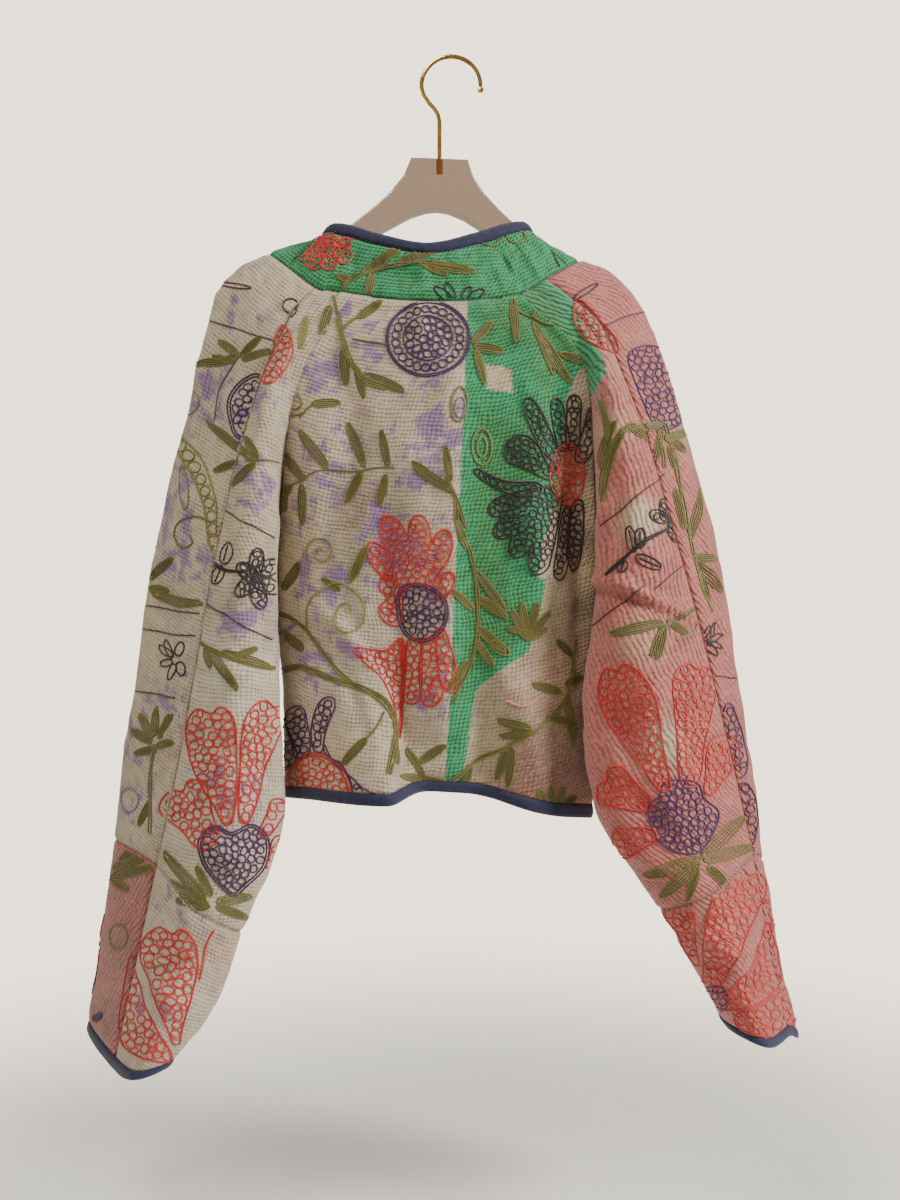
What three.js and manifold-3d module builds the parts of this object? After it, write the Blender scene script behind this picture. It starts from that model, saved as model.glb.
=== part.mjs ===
// A quilted, open-fronted jacket on a hanger, seen from the jacket's back.
// Frame: millimetres, +X to the right of the back, -Y out of the jacket's back, +Z up.
// Origin: the inside top of the hanger's hook, where a rod or a wall hook holds it.
// Each cloth piece is a thin closed wall. Its outside is raised between the quilting lines,
// its inside is plain, and neighbouring pieces stand SEAM_GAP apart along their seams.
import * as THREE from "three";
import Module from "manifold-3d";

const WALL = 2.2; // thickness of the padded cloth at a quilting line
const PUFF = 1.1; // how far the cloth rises between quilting lines
const SEAM_GAP = 0.36; // between two pieces along a seam
const PITCH = 14.5; // spacing of the quilting rows
const BINDING = 8; // width of the edge binding
const BINDING_RISE = 1.5; // how far the binding stands over the cloth
const PLATE_THICKNESS = 12;
const PLATE_EDGE = 2.5; // rounding of its edges
const WIRE_RADIUS = 2;
const TIP_RADIUS = 3;
const FERRULE_RADIUS = 2.8;
const FERRULE_DEPTH = 12;

// ---- tables ----

const table = (names, rows) => Object.fromEntries(names.map((name, k) => [name, rows.map((row) => row[k])]));

// A sleeve's sections, from the neck band (row 0) past the underarm (row 6) and the seam of the
// lower piece (row 9) to the cuff (row 11). Each section runs round from the fold at the back of
// the armhole, over the inner edge and the crest, to the long seam, the outer edge and the front.
// rise and drop tilt the section: how much higher the outer edge and the inner edge lie.
const SECTION = [
  "zSeam", "xSeam", "ySeam", "rise", "xOut", "yOut", "drop", "xIn", "yIn", "yCrest",
  "xBack", "yBack", "xFront", "yFront", "xFar", "yFar",
];
const SLEEVE = {
  left: table(SECTION, [
    [-212, -120, -27, 34, -161, -6, -5, -99, -31, -29, -86, -34, -154, 16, -160, 8],
    [-228, -135, -31, 37, -185, -6, -12, -114, -37, -35, -104, -39, -168, 21, -181, 10],
    [-254, -148, -36, 41, -207, -4, -11, -130, -43, -43, -121, -43, -170, 29, -195, 18],
    [-298, -166, -43, 39, -223, 2, -7, -145, -52, -54, -136, -41, -167, 36, -200, 38],
    [-354, -182, -49, 31, -238, 6, -6, -150, -56, -64, -146, -33, -167, 32, -209, 46],
    [-418, -197, -52, 30, -256, 8, -6, -151, -57, -72, -153, -20, -165, 18, -217, 52],
    [-480, -209, -53, 18, -272, 10, -5, -151, -56, -77, -160, -4, -160, -4, -227, 52],
    [-565, -224, -52, 16, -285, 12, -11, -150, -56, -80, -163, -12, -163, -12, -231, 50],
    [-647, -240, -49, 10, -298, 14, -33, -147, -58, -83, -163, -14, -163, -14, -239, 48],
    [-717, -256, -45, 12, -307, 17, -54, -180, -58, -84, -200, -14, -200, -14, -262, 48],
    [-813, -277, -41, 9, -322, 22, -28, -206, -55, -81, -229, -13, -229, -13, -289, 47],
    [-894, -295, -38, 10, -335, 28, 7, -243, -54, -78, -261, -10, -261, -10, -312, 46],
  ]),
  right: table(SECTION, [
    [-204, 84, -27, 21, 113, -6, -11, 68, -31, -29, 60, -34, 107, 16, 112, 8],
    [-222, 106, -31, 29, 137, -6, -13, 91, -37, -35, 83, -39, 124, 21, 134, 10],
    [-245, 130, -36, 32, 162, -4, -14, 113, -43, -42, 106, -43, 134, 29, 152, 18],
    [-284, 147, -43, 29, 185, 2, -12, 127, -52, -54, 120, -41, 138, 36, 165, 38],
    [-348, 170, -49, 25, 208, 6, -7, 128, -56, -64, 125, -33, 142, 32, 181, 46],
    [-418, 190, -50, 24, 229, 8, -8, 127, -57, -70, 130, -20, 142, 18, 193, 52],
    [-483, 209, -46, 14, 246, 10, -6, 125, -55, -74, 134, -4, 134, -4, 200, 52],
    [-564, 231, -38, 0, 260, 12, -9, 116, -56, -76, 138, -12, 138, -12, 211, 50],
    [-652, 253, -30, -3, 272, 14, -13, 126, -58, -78, 148, -14, 148, -14, 228, 50],
    [-713, 268, -22, -13, 282, 16, -39, 179, -58, -78, 200, -12, 200, -12, 253, 50],
    [-802, 285, -17, -9, 298, 15, -4, 212, -55, -76, 224, -8, 224, -8, 268, 49],
    [-875, 301, -14, -9, 313, 12, 19, 240, -54, -74, 243, -2, 243, -2, 274, 46],
  ]),
};
const UNDERARM = 6;
const LOWER_SEAM = 9;
const CUFF = 11;

// The body's sections, rows 0 to 6 level with the sleeve's rows and rows 7 to 9 down to the hem:
// the middle of the back, the seams of the front band, the band's inner edges, the side seams.
const BODY = table(
  [
    "zBack", "yBack", "zBand", "yBand", "xBandLeft", "xBandRight", "zEdge", "yEdge", "xEdgeLeft", "xEdgeRight",
    "xSideLeft", "ySideLeft", "zSideLeft", "xSideRight", "ySideRight", "zSideRight",
  ],
  [
    [-228, -44, -192, 27, -142, 93, -166, 24, -98, 50, -160, -4, -485, 134, -4, -489],
    [-250, -48, -222, 33, -137, 89, -200, 31, -88, 41, -160, -4, -485, 134, -4, -489],
    [-274, -51, -257, 39, -129, 84, -240, 38, -78, 34, -160, -4, -485, 134, -4, -489],
    [-309, -54, -300, 46, -117, 76, -288, 47, -66, 25, -160, -4, -485, 134, -4, -489],
    [-360, -56, -355, 56, -103, 68, -348, 58, -51, 16, -160, -4, -485, 134, -4, -489],
    [-420, -56, -413, 62, -93, 61, -409, 64, -41, 9, -160, -4, -485, 134, -4, -489],
    [-480, -54, -480, 64, -87, 57, -478, 66, -35, 5, -160, -4, -485, 134, -4, -489],
    [-560, -52, -560, 64, -86, 58, -559, 66, -34, 6, -151, -2, -562, 129, 0, -566],
    [-610, -46, -613, 63, -87, 61, -612, 65, -35, 9, -150, 0, -616, 129, 2, -628],
    [-652, -40, -662, 62, -89, 64, -660, 64, -37, 12, -150, 2, -664, 127, 4, -683],
  ],
);
const HEM = 9;

// The neck edge round the back, from the left front over both shoulders to the right front.
const NECK = table(["x", "y", "z"], [
  [-88, 31, -200], [-98, 24, -166], [-109, 1, -151], [-93, -14, -153], [-62, -25, -165],
  [-20, -34, -175],
  [21, -26, -164], [50, -14, -152], [67, 1, -149], [50, 24, -166], [41, 31, -200],
]);

// The body's large hanging folds: a crest from its top to its bottom, with its height at both
// ends and how far it spreads to each side. The first one laps over steeply to its right.
const FOLDS = [
  { top: [-120, -513], bottom: [-52, -655], bend: 0.5, from: 2, to: 40, left: 85, right: 19 },
  { top: [85, -540], bottom: [90, -683], bend: 1, from: 0, to: 24, left: 42, right: 34 },
  { top: [-40, -330], bottom: [-10, -560], bend: 1, from: 3, to: 4, left: 22, right: 22 },
  { top: [70, -300], bottom: [60, -520], bend: 1, from: 3, to: 5, left: 24, right: 24 },
];

// ---- curves and surfaces ----

const lerp = (a, b, t) => a + (b - a) * t;
const mix = (a, b, t) => [lerp(a[0], b[0], t), lerp(a[1], b[1], t), lerp(a[2], b[2], t)];
const sub = (a, b) => [a[0] - b[0], a[1] - b[1], a[2] - b[2]];
const add = (a, b, k = 1) => [a[0] + b[0] * k, a[1] + b[1] * k, a[2] + b[2] * k];
const dot = (a, b) => a[0] * b[0] + a[1] * b[1] + a[2] * b[2];
const cross = (a, b) => [a[1] * b[2] - a[2] * b[1], a[2] * b[0] - a[0] * b[2], a[0] * b[1] - a[1] * b[0]];
const length = (a) => Math.hypot(a[0], a[1], a[2]);
const unit = (a) => a.map((c) => c / (length(a) || 1));
const clamp = (t, lo, hi) => Math.min(hi, Math.max(lo, t));
const smooth = (lo, hi, t) => {
  const s = clamp((t - lo) / (hi - lo), 0, 1);
  return s * s * (3 - 2 * s);
};

// Catmull-Rom through a column's values, with straight ends.
function along(values, t) {
  const last = values.length - 1;
  const i = clamp(Math.floor(t), 0, last - 1);
  const u = t - i;
  const b = values[i];
  const c = values[i + 1];
  const a = i > 0 ? values[i - 1] : 2 * b - c;
  const d = i + 2 <= last ? values[i + 2] : 2 * c - b;
  return 0.5 * (2 * b + (c - a) * u + (2 * a - 5 * b + 4 * c - d) * u * u + (3 * b - a - 3 * c + d) * u * u * u);
}
const spline = (points, t) => [0, 1, 2].map((k) => along(points.map((p) => p[k]), t));

// A point of a sleeve: row v, place s round the section (0 back fold, 3 long seam, 6 front fold).
function sleevePoint(side, v, s) {
  const T = SLEEVE[side];
  const at = (name) => along(T[name], v);
  const seam = [at("xSeam"), at("ySeam"), at("zSeam")];
  const out = [at("xOut"), at("yOut"), seam[2] + at("rise")];
  const inner = [at("xIn"), at("yIn"), seam[2] + at("drop")];
  const height = (x) => {
    const toOut = (x - seam[0]) / (out[0] - seam[0]);
    const toIn = (x - seam[0]) / (inner[0] - seam[0]);
    return toOut > 0 ? lerp(seam[2], out[2], toOut) : lerp(seam[2], inner[2], toIn);
  };
  const place = (x, y) => [x, y, height(x)];
  const back = place(at("xBack"), at("yBack"));
  const front = v >= UNDERARM ? back : place(at("xFront"), at("yFront"));
  const crest = place(lerp(inner[0], seam[0], 0.45), at("yCrest"));
  const far = place(at("xFar"), at("yFar"));
  const keys = [back, inner, crest, seam, out, far, front];
  const closed = smooth(UNDERARM, UNDERARM + 1, v);
  const before = mix(add(back, sub(back, inner)), far, closed);
  const after = mix(add(front, sub(front, far)), inner, closed);
  return spline([before, ...keys, after], s + 1);
}

// Points equally spaced along a section between two places.
function equally(curve, count) {
  const fine = 48;
  const line = Array.from({ length: fine + 1 }, (_, i) => curve(i / fine));
  const run = [0];
  for (let i = 1; i <= fine; i += 1) run.push(run[i - 1] + length(sub(line[i], line[i - 1])));
  return Array.from({ length: count + 1 }, (_, k) => {
    const want = (run[fine] * k) / count;
    let i = 1;
    while (i < fine && run[i] < want) i += 1;
    return mix(line[i - 1], line[i], clamp((want - run[i - 1]) / (run[i] - run[i - 1] || 1), 0, 1));
  });
}
const sleeveRow = (side, v, from, to, count) => equally((t) => sleevePoint(side, v, lerp(from, to, t)), count);

const title = (side) => (side === "left" ? "Left" : "Right");
const bodySide = (side, v) => ["x", "y", "z"].map((axis) => along(BODY[`${axis}Side${title(side)}`].slice(6), v - 6));
const backEdge = (side, v) => (v <= UNDERARM ? sleevePoint(side, v, 0) : bodySide(side, v));
const frontEdge = (side, v) => (v <= UNDERARM ? sleevePoint(side, v, 6) : bodySide(side, v));
const bandSeam = (side, v) => [along(BODY[`xBand${title(side)}`], v), along(BODY.yBand, v), along(BODY.zBand, v)];
const bandEdge = (side, v) => [along(BODY[`xEdge${title(side)}`], v), along(BODY.yEdge, v), along(BODY.zEdge, v)];

// A point of the back: row v, q from -1 at the left edge to 1 at the right.
function backPoint(v, q) {
  const a = backEdge("left", v);
  const b = backEdge("right", v);
  const power = lerp(2.2, 2, smooth(5, 6, v)) + 0.2 * smooth(6, 7.5, v);
  const round = lerp(1, 0.47, smooth(3.5, 6, v));
  const shape = (1 - Math.abs(q) ** power) ** round;
  const yEdge = lerp(a[1], b[1], (q + 1) / 2);
  const z = along(BODY.zBack, v);
  const p = [
    lerp(a[0], b[0], (q + 1) / 2),
    lerp(yEdge, along(BODY.yBack, v), shape),
    z + ((b[2] - a[2]) / 2) * q + ((a[2] + b[2]) / 2 - z) * q * q,
  ];
  const free = 1 - q ** 4;
  FOLDS.forEach((fold) => {
    const t = (p[2] - fold.top[1]) / (fold.bottom[1] - fold.top[1]);
    const held = clamp(t, 0, 1.05);
    const middle = lerp(fold.top[0], fold.bottom[0], held ** fold.bend);
    const d = p[0] - middle;
    const spread = d < 0 ? fold.left : fold.right;
    const height = lerp(fold.from, fold.to, held) * smooth(-0.4, 0.1, t) * free;
    const lift = height * Math.exp(-((d / spread) ** 2));
    p[1] -= lift;
    p[2] -= 0.25 * lift * smooth(0.4, 1, t);
  });
  return p;
}

// A point of one front: row v, q from 0 at the side to 1 at the band's seam.
function frontPoint(side, v, q) {
  const a = frontEdge(side, v);
  const b = bandSeam(side, v);
  const turn = (q * Math.PI) / 2;
  const round = smooth(3.5, 6, v);
  const across = lerp(q, 1 - Math.cos(turn), round);
  const forward = lerp(q, Math.sin(turn), round);
  const bulge = 4 * q * (1 - q) * 3 * smooth(0.5, 2.5, v) * (1 - round);
  return [lerp(a[0], b[0], across), lerp(a[1], b[1], forward) + bulge, lerp(a[2], b[2], q)];
}

// ---- shared sample lists: both pieces at a seam use the same rows or columns ----

// Rows spaced evenly, by the mean length of the given lines down the cloth.
function rowsBetween(from, to, lines) {
  const fine = 60;
  const run = [0];
  for (let i = 1; i <= fine; i += 1) {
    const v0 = lerp(from, to, (i - 1) / fine);
    const v1 = lerp(from, to, i / fine);
    const step = lines.reduce((sum, line) => sum + length(sub(line(v1), line(v0))), 0) / lines.length;
    run.push(run[i - 1] + step);
  }
  const count = 2 * Math.round(run[fine] / PITCH / 2);
  return Array.from({ length: count + 1 }, (_, k) => {
    const want = (run[fine] * k) / count;
    let i = 1;
    while (i < fine && run[i] < want) i += 1;
    return lerp(from, to, (i - 1 + (want - run[i - 1]) / (run[i] - run[i - 1])) / fine);
  });
}

const SIDES = ["left", "right"];
const COLUMNS = { sleeveBack: 10, sleeveFront: 14, back: 22, front: 6, band: 4 };
const hemStart = HEM - BINDING / 43;
const cuffStart = CUFF - BINDING / 78;
const ROWS = { left: {}, right: {} };
SIDES.forEach((side) => {
  const seam = (v) => sleevePoint(side, v, 3);
  const fold = (v) => sleevePoint(side, v, 0);
  ROWS[side].upper = rowsBetween(0, UNDERARM, [seam, fold]);
  ROWS[side].middle = rowsBetween(UNDERARM, LOWER_SEAM, [seam, fold]);
  ROWS[side].lower = rowsBetween(LOWER_SEAM, cuffStart, [seam, fold]);
});
ROWS.right.upper = ROWS.left.upper;
ROWS.body = rowsBetween(UNDERARM, hemStart, [(v) => backPoint(v, 0.3), (v) => backPoint(v, -0.5)]);
const bodyRows = [...ROWS.left.upper, ...ROWS.body.slice(1)];

// ---- cloth pieces as grids of points; grid[i][j] runs i round the body, j down it ----

const transpose = (rows) => rows[0].map((_, i) => rows.map((row) => row[i]));
const panels = {};
const addPanel = (name, columns, extra = {}) => {
  panels[name] = { grid: columns, puff: PUFF, closed: false, ...extra };
};

const sleeveGrid = (side, rows, from, to, count) => transpose(rows.map((v) => sleeveRow(side, v, from, to, count)));
SIDES.forEach((side) => {
  const upper = [...ROWS[side].upper, ...ROWS[side].middle.slice(1)];
  const lower = ROWS[side].lower;
  addPanel(`sleeve_${side}_back`, sleeveGrid(side, upper, 0, 3, COLUMNS.sleeveBack));
  addPanel(`sleeve_${side}_front`, sleeveGrid(side, upper, 3, 6, COLUMNS.sleeveFront));
  addPanel(`sleeve_${side}_lower_back`, sleeveGrid(side, lower, 0, 3, COLUMNS.sleeveBack));
  addPanel(`sleeve_${side}_lower_front`, sleeveGrid(side, lower, 3, 6, COLUMNS.sleeveFront));
  const cuffRows = [cuffStart, lerp(cuffStart, CUFF, 0.5), CUFF];
  const near = sleeveGrid(side, cuffRows, 0, 3, COLUMNS.sleeveBack);
  const far = sleeveGrid(side, cuffRows, 3, 6, COLUMNS.sleeveFront);
  addPanel(`cuff_binding_${side}`, [...near, ...far.slice(1)], { puff: 0, closed: true, binding: "down" });
});

const backRow = (v) => equally((t) => backPoint(v, lerp(-1, 1, t)), COLUMNS.back);
const frontRow = (side, v) => equally((t) => frontPoint(side, v, t), COLUMNS.front);
addPanel("back", transpose(bodyRows.map(backRow)));
addPanel("front_left", transpose(bodyRows.map((v) => frontRow("left", v))));
addPanel("front_right", transpose(bodyRows.map((v) => frontRow("right", v))));

// The band is given by its seam and its edge; both are walked together from the left hem, up the
// left front, round the neck and down the right front.
const shoulderColumn = Math.round(COLUMNS.sleeveFront * 0.4);
const neckPoint = (t) => [along(NECK.x, t), along(NECK.y, t), along(NECK.z, t)];
const topOf = (name, from, to) => {
  const columns = panels[name].grid.slice(Math.min(from, to), Math.max(from, to) + 1).map((column) => column[0]);
  return from > to ? columns.reverse() : columns;
};
const bandRun = (points, from, to) => points.map((p, i) => ({ seam: p, edge: neckPoint(lerp(from, to, i / (points.length - 1))) }));
const frontRun = (side) => bodyRows.map((v) => ({ seam: bandSeam(side, v), edge: bandEdge(side, v) }));
const join = (...runs) => runs.flatMap((run, i) => (i ? run.slice(1) : run));
const n = COLUMNS.sleeveFront;
const bandRuns = {
  neck_band_left: join(
    frontRun("left").reverse(),
    bandRun(topOf("front_left", COLUMNS.front, 0), 1, 1.25),
    bandRun(topOf("sleeve_left_front", n, shoulderColumn), 1.25, 2),
  ),
  neck_band_back: join(
    bandRun(topOf("sleeve_left_front", shoulderColumn, 0), 2, 3),
    bandRun(topOf("sleeve_left_back", COLUMNS.sleeveBack, 0), 3, 3.75),
    bandRun(topOf("back", 0, COLUMNS.back), 3.75, 6.25),
    bandRun(topOf("sleeve_right_back", 0, COLUMNS.sleeveBack), 6.25, 7),
    bandRun(topOf("sleeve_right_front", 0, shoulderColumn), 7, 8),
  ),
  neck_band_right: join(
    bandRun(topOf("sleeve_right_front", shoulderColumn, n), 8, 8.75),
    bandRun(topOf("front_right", 0, COLUMNS.front), 8.75, 9),
    frontRun("right"),
  ),
};
const bandWidth = 56;
const bandStop = 1 - BINDING / bandWidth;
const acrossBand = (station, from, to, count) =>
  Array.from({ length: count + 1 }, (_, k) => mix(station.seam, station.edge, lerp(from, to, k / count)));
Object.entries(bandRuns).forEach(([name, run]) => {
  addPanel(name, run.map((station) => acrossBand(station, 0, bandStop, COLUMNS.band)), { bulge: 2 });
});
const wholeBand = join(bandRuns.neck_band_left, bandRuns.neck_band_back, bandRuns.neck_band_right);
addPanel("neck_binding", wholeBand.map((station) => acrossBand(station, bandStop, 1, 2)), { puff: 0, binding: "down" });

// The hem binding: one strip from the left front edge round the back to the right front edge.
const hemRows = [hemStart, lerp(hemStart, HEM, 0.5), HEM];
const bandAcross = (side, v) => {
  const station = { seam: bandSeam(side, v), edge: bandEdge(side, v) };
  return join(acrossBand(station, 0, bandStop, COLUMNS.band), acrossBand(station, bandStop, 1, 2));
};
addPanel(
  "hem_binding",
  transpose(
    hemRows.map((v) =>
      join(
        bandAcross("left", v).reverse(),
        frontRow("left", v).reverse(),
        backRow(v),
        frontRow("right", v),
        bandAcross("right", v),
      ),
    ),
  ),
  { puff: 0, binding: "down" },
);

// ---- normals, shared along the seams ----

// Which way is out: away from the middle line of the body or of the sleeve.
function outward(name, p) {
  if (name.includes("sleeve") || name.includes("cuff")) {
    const side = name.includes("left") ? "left" : "right";
    const z = clamp(p[2], -875, -330);
    const s = (z + 330) / (-875 + 330);
    const middle = side === "left" ? lerp(-195, -285, s) : lerp(168, 275, s);
    return p[2] > -330 ? [0, Math.sign(p[1] - 6) * 0.6, 0.4] : [p[0] - middle, p[1] + 12, 0];
  }
  if (name.startsWith("back")) return [0, -1, 0];
  if (name.startsWith("front")) return [name.includes("left") ? -0.4 : 0.4, 1, 0];
  return null;
}

function gridNormals(panel) {
  const { grid, closed } = panel;
  const m = grid.length;
  const k = grid[0].length;
  const ring = m - 1;
  return grid.map((column, i) =>
    column.map((_, j) => {
      const i0 = closed ? (i - 1 + ring) % ring : Math.max(i - 1, 0);
      const i1 = closed ? (i + 1) % ring : Math.min(i + 1, m - 1);
      const du = sub(grid[i1][j], grid[i0][j]);
      const dv = sub(grid[i][Math.min(j + 1, k - 1)], grid[i][Math.max(j - 1, 0)]);
      return unit(cross(du, dv));
    }),
  );
}

Object.entries(panels).forEach(([name, panel]) => {
  panel.normals = gridNormals(panel);
  let vote = 0;
  panel.grid.forEach((column, i) =>
    column.forEach((p, j) => {
      const away = outward(name, p);
      if (away) vote += dot(unit(away), panel.normals[i][j]);
    }),
  );
  panel.vote = vote;
});
// The band and the bindings are walked so that their columns turn the same way throughout.
["neck_band_left", "neck_band_back", "neck_band_right", "neck_binding"].forEach((name) => {
  const panel = panels[name];
  const i = Math.floor(panel.grid.length / 2);
  const ways = { neck_band_left: [-0.3, 1, 0.2], neck_band_back: [0, -1, 0.3], neck_band_right: [0.3, 1, 0.2], neck_binding: [0, -1, 0.3] };
  const at = name === "neck_band_left" ? 8 : name === "neck_band_right" ? panel.grid.length - 9 : i;
  panel.vote = dot(ways[name], panel.normals[at][1]);
});
{
  const panel = panels.hem_binding;
  const i = Math.floor(panel.grid.length / 2);
  panel.vote = dot([0, -1, 0], panel.normals[i][1]);
}
Object.values(panels).forEach((panel) => {
  if (panel.vote < 0) panel.normals = panel.normals.map((column) => column.map((p) => p.map((c) => -c)));
});

// Pieces that meet share the mean of their normals, so their edges stay parallel.
const spot = (p) => p.map((c) => Math.round(c * 50)).join(",");
const shared = new Map();
const edgeSpots = (panel, visit) =>
  panel.grid.forEach((column, i) =>
    column.forEach((p, j) => {
      const side = !panel.closed && (i === 0 || i === panel.grid.length - 1);
      if (side || j === 0 || j === column.length - 1) visit(p, i, j);
    }),
  );
Object.values(panels).forEach((panel) =>
  edgeSpots(panel, (p, i, j) => {
    const key = spot(p);
    shared.set(key, add(shared.get(key) || [0, 0, 0], panel.normals[i][j]));
  }),
);
const crotches = SIDES.map((side) => sleevePoint(side, UNDERARM, 0));
Object.values(panels).forEach((panel) =>
  edgeSpots(panel, (p, i, j) => {
    const near = crotches.some((c) => length(sub(c, p)) < 1);
    const mean = near ? [0, 0, -1] : shared.get(spot(p));
    if (length(mean) > 0.3) panel.normals[i][j] = unit(mean);
  }),
);

// ---- closed walls from the grids ----

function solidFrom(vertices, triangles) {
  const geometry = new THREE.BufferGeometry();
  geometry.setAttribute("position", new THREE.Float32BufferAttribute(vertices.flat(), 3));
  geometry.setIndex(triangles);
  let volume = 0;
  for (let i = 0; i < triangles.length; i += 3) {
    const [a, b, c] = [vertices[triangles[i]], vertices[triangles[i + 1]], vertices[triangles[i + 2]]];
    volume += dot(a, cross(b, c));
  }
  if (volume < 0) for (let i = 0; i < triangles.length; i += 3) triangles.splice(i, 3, triangles[i], triangles[i + 2], triangles[i + 1]);
  geometry.setIndex(triangles);
  geometry.computeVertexNormals();
  return geometry;
}

// Every second index, always with the last one.
const sparser = (count, step) => {
  const list = [];
  for (let i = 0; i < count - 1; i += step) list.push(i);
  return [...list, count - 1];
};

function clothWall(panel) {
  const { grid, normals, puff, closed, binding, bulge = 0 } = panel;
  const m = grid.length;
  const k = grid[0].length;
  const open = (i) => !closed && (i === 0 || i === m - 1);
  const isEdge = (i, j) => open(i) || j === 0 || j === k - 1;
  // draw the edges in by half the gap
  const base = grid.map((column, i) =>
    column.map((p, j) => {
      let q = p;
      // away from the seam and at right angles to it
      const pull = (other, seamRun, share = 0.5) => {
        const way = unit(cross(seamRun, normals[i][j]));
        q = add(q, way, Math.sign(dot(way, sub(other, p))) * SEAM_GAP * share);
      };
      const down = sub(column[Math.min(j + 1, k - 1)], column[Math.max(j - 1, 0)]);
      const before = grid[closed ? (i + m - 2) % (m - 1) : Math.max(i - 1, 0)][j];
      const after = grid[closed ? (i + 1) % (m - 1) : Math.min(i + 1, m - 1)][j];
      const round = sub(after, before);
      if (!closed && i === 0) pull(grid[1][j], down);
      if (!closed && i === m - 1) pull(grid[m - 2][j], down);
      if (j === 0) pull(grid[i][1], round, binding ? 0.7 : 0.5);
      if (j === k - 1 && !binding) pull(grid[i][k - 2], round);
      return q;
    }),
  );
  const rise = (i, j) => {
    if (binding) return j === 0 ? BINDING_RISE * 0.4 : j === k - 1 ? BINDING_RISE * 0.3 : BINDING_RISE;
    if (isEdge(i, j)) return 0;
    const near = Math.min(...crotches.map((c) => length(sub(c, grid[i][j]))));
    const across = (4 * j * (k - 1 - j)) / (k - 1) ** 2;
    return ((i + j) % 2 ? puff : 0) * smooth(10, 40, near) + bulge * across;
  };
  const vertices = [];
  const outer = grid.map((column, i) => column.map((_, j) => vertices.push(add(base[i][j], normals[i][j], rise(i, j))) - 1));
  const columns = sparser(m, 2);
  const rows = sparser(k, k < 5 ? 1 : 2);
  const inner = columns.map((i) => rows.map((j) => vertices.push(add(base[i][j], normals[i][j], -WALL)) - 1));
  const triangles = [];
  const tri = (a, b, c) => {
    if (a !== b && b !== c && a !== c) triangles.push(a, b, c);
  };
  const wrap = (list) => (closed ? [...list.slice(0, -1), list[0]] : list);
  const outerColumns = wrap(outer);
  const innerColumns = wrap(inner);
  const face = (cells, flip, low) => {
    for (let i = 0; i < cells.length - 1; i += 1) {
      for (let j = 0; j < cells[0].length - 1; j += 1) {
        const [a, b, c, d] = [cells[i][j], cells[i + 1][j], cells[i + 1][j + 1], cells[i][j + 1]];
        const other = low && (i + j) % 2 === 0;
        const pair = other ? [[a, b, c], [a, c, d]] : [[a, b, d], [b, c, d]];
        pair.forEach(([x, y, z]) => (flip ? tri(x, z, y) : tri(x, y, z)));
      }
    }
  };
  face(outerColumns, false, true);
  face(innerColumns, true, false);
  // the rim: walk both edges together and join them with triangles
  const strip = (outerLine, innerLine, outerAt, innerAt, flip) => {
    let a = 0;
    let b = 0;
    while (a < outerLine.length - 1 || b < innerLine.length - 1) {
      const stepOuter = b >= innerLine.length - 1 || (a < outerLine.length - 1 && outerAt[a + 1] <= innerAt[b + 1]);
      const next = stepOuter ? outerLine[a + 1] : innerLine[b + 1];
      if (flip) tri(outerLine[a], next, innerLine[b]);
      else tri(outerLine[a], innerLine[b], next);
      if (stepOuter) a += 1;
      else b += 1;
    }
  };
  const allColumns = grid.map((_, i) => i);
  const allRows = grid[0].map((_, j) => j);
  strip(outerColumns.map((c) => c[0]), innerColumns.map((c) => c[0]), allColumns, columns, false);
  strip(outerColumns.map((c) => c[k - 1]), innerColumns.map((c) => c[rows.length - 1]), allColumns, columns, true);
  if (!closed) {
    strip(outer[0], inner[0], allRows, rows, true);
    strip(outer[m - 1], inner[columns.length - 1], allRows, rows, false);
  }
  return solidFrom(vertices, triangles);
}

// ---- the hanger ----

// A round bar along a line of points, with a radius at each point and closed ends.
function bar(points, radii, sides = 10) {
  const vertices = [];
  const rings = points.map((p, i) => {
    const ahead = unit(sub(points[Math.min(i + 1, points.length - 1)], points[Math.max(i - 1, 0)]));
    const across = [0, 1, 0];
    const up = unit(cross(ahead, across));
    return Array.from({ length: sides }, (_, k) => {
      const turn = (2 * Math.PI * k) / sides;
      const offset = add(across.map((c) => c * Math.cos(turn) * radii[i]), up, Math.sin(turn) * radii[i]);
      return vertices.push(add(p, offset)) - 1;
    });
  });
  const triangles = [];
  for (let i = 0; i < rings.length - 1; i += 1) {
    for (let k = 0; k < sides; k += 1) {
      const j = (k + 1) % sides;
      triangles.push(rings[i][k], rings[i + 1][k], rings[i][j]);
      triangles.push(rings[i][j], rings[i + 1][k], rings[i + 1][j]);
    }
  }
  [[0, false], [rings.length - 1, true]].forEach(([i, flip]) => {
    const centre = vertices.push(points[i]) - 1;
    rings[i].forEach((a, k) => {
      const b = rings[i][(k + 1) % sides];
      triangles.push(...(flip ? [centre, b, a] : [centre, a, b]));
    });
  });
  return solidFrom(vertices, triangles);
}

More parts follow.
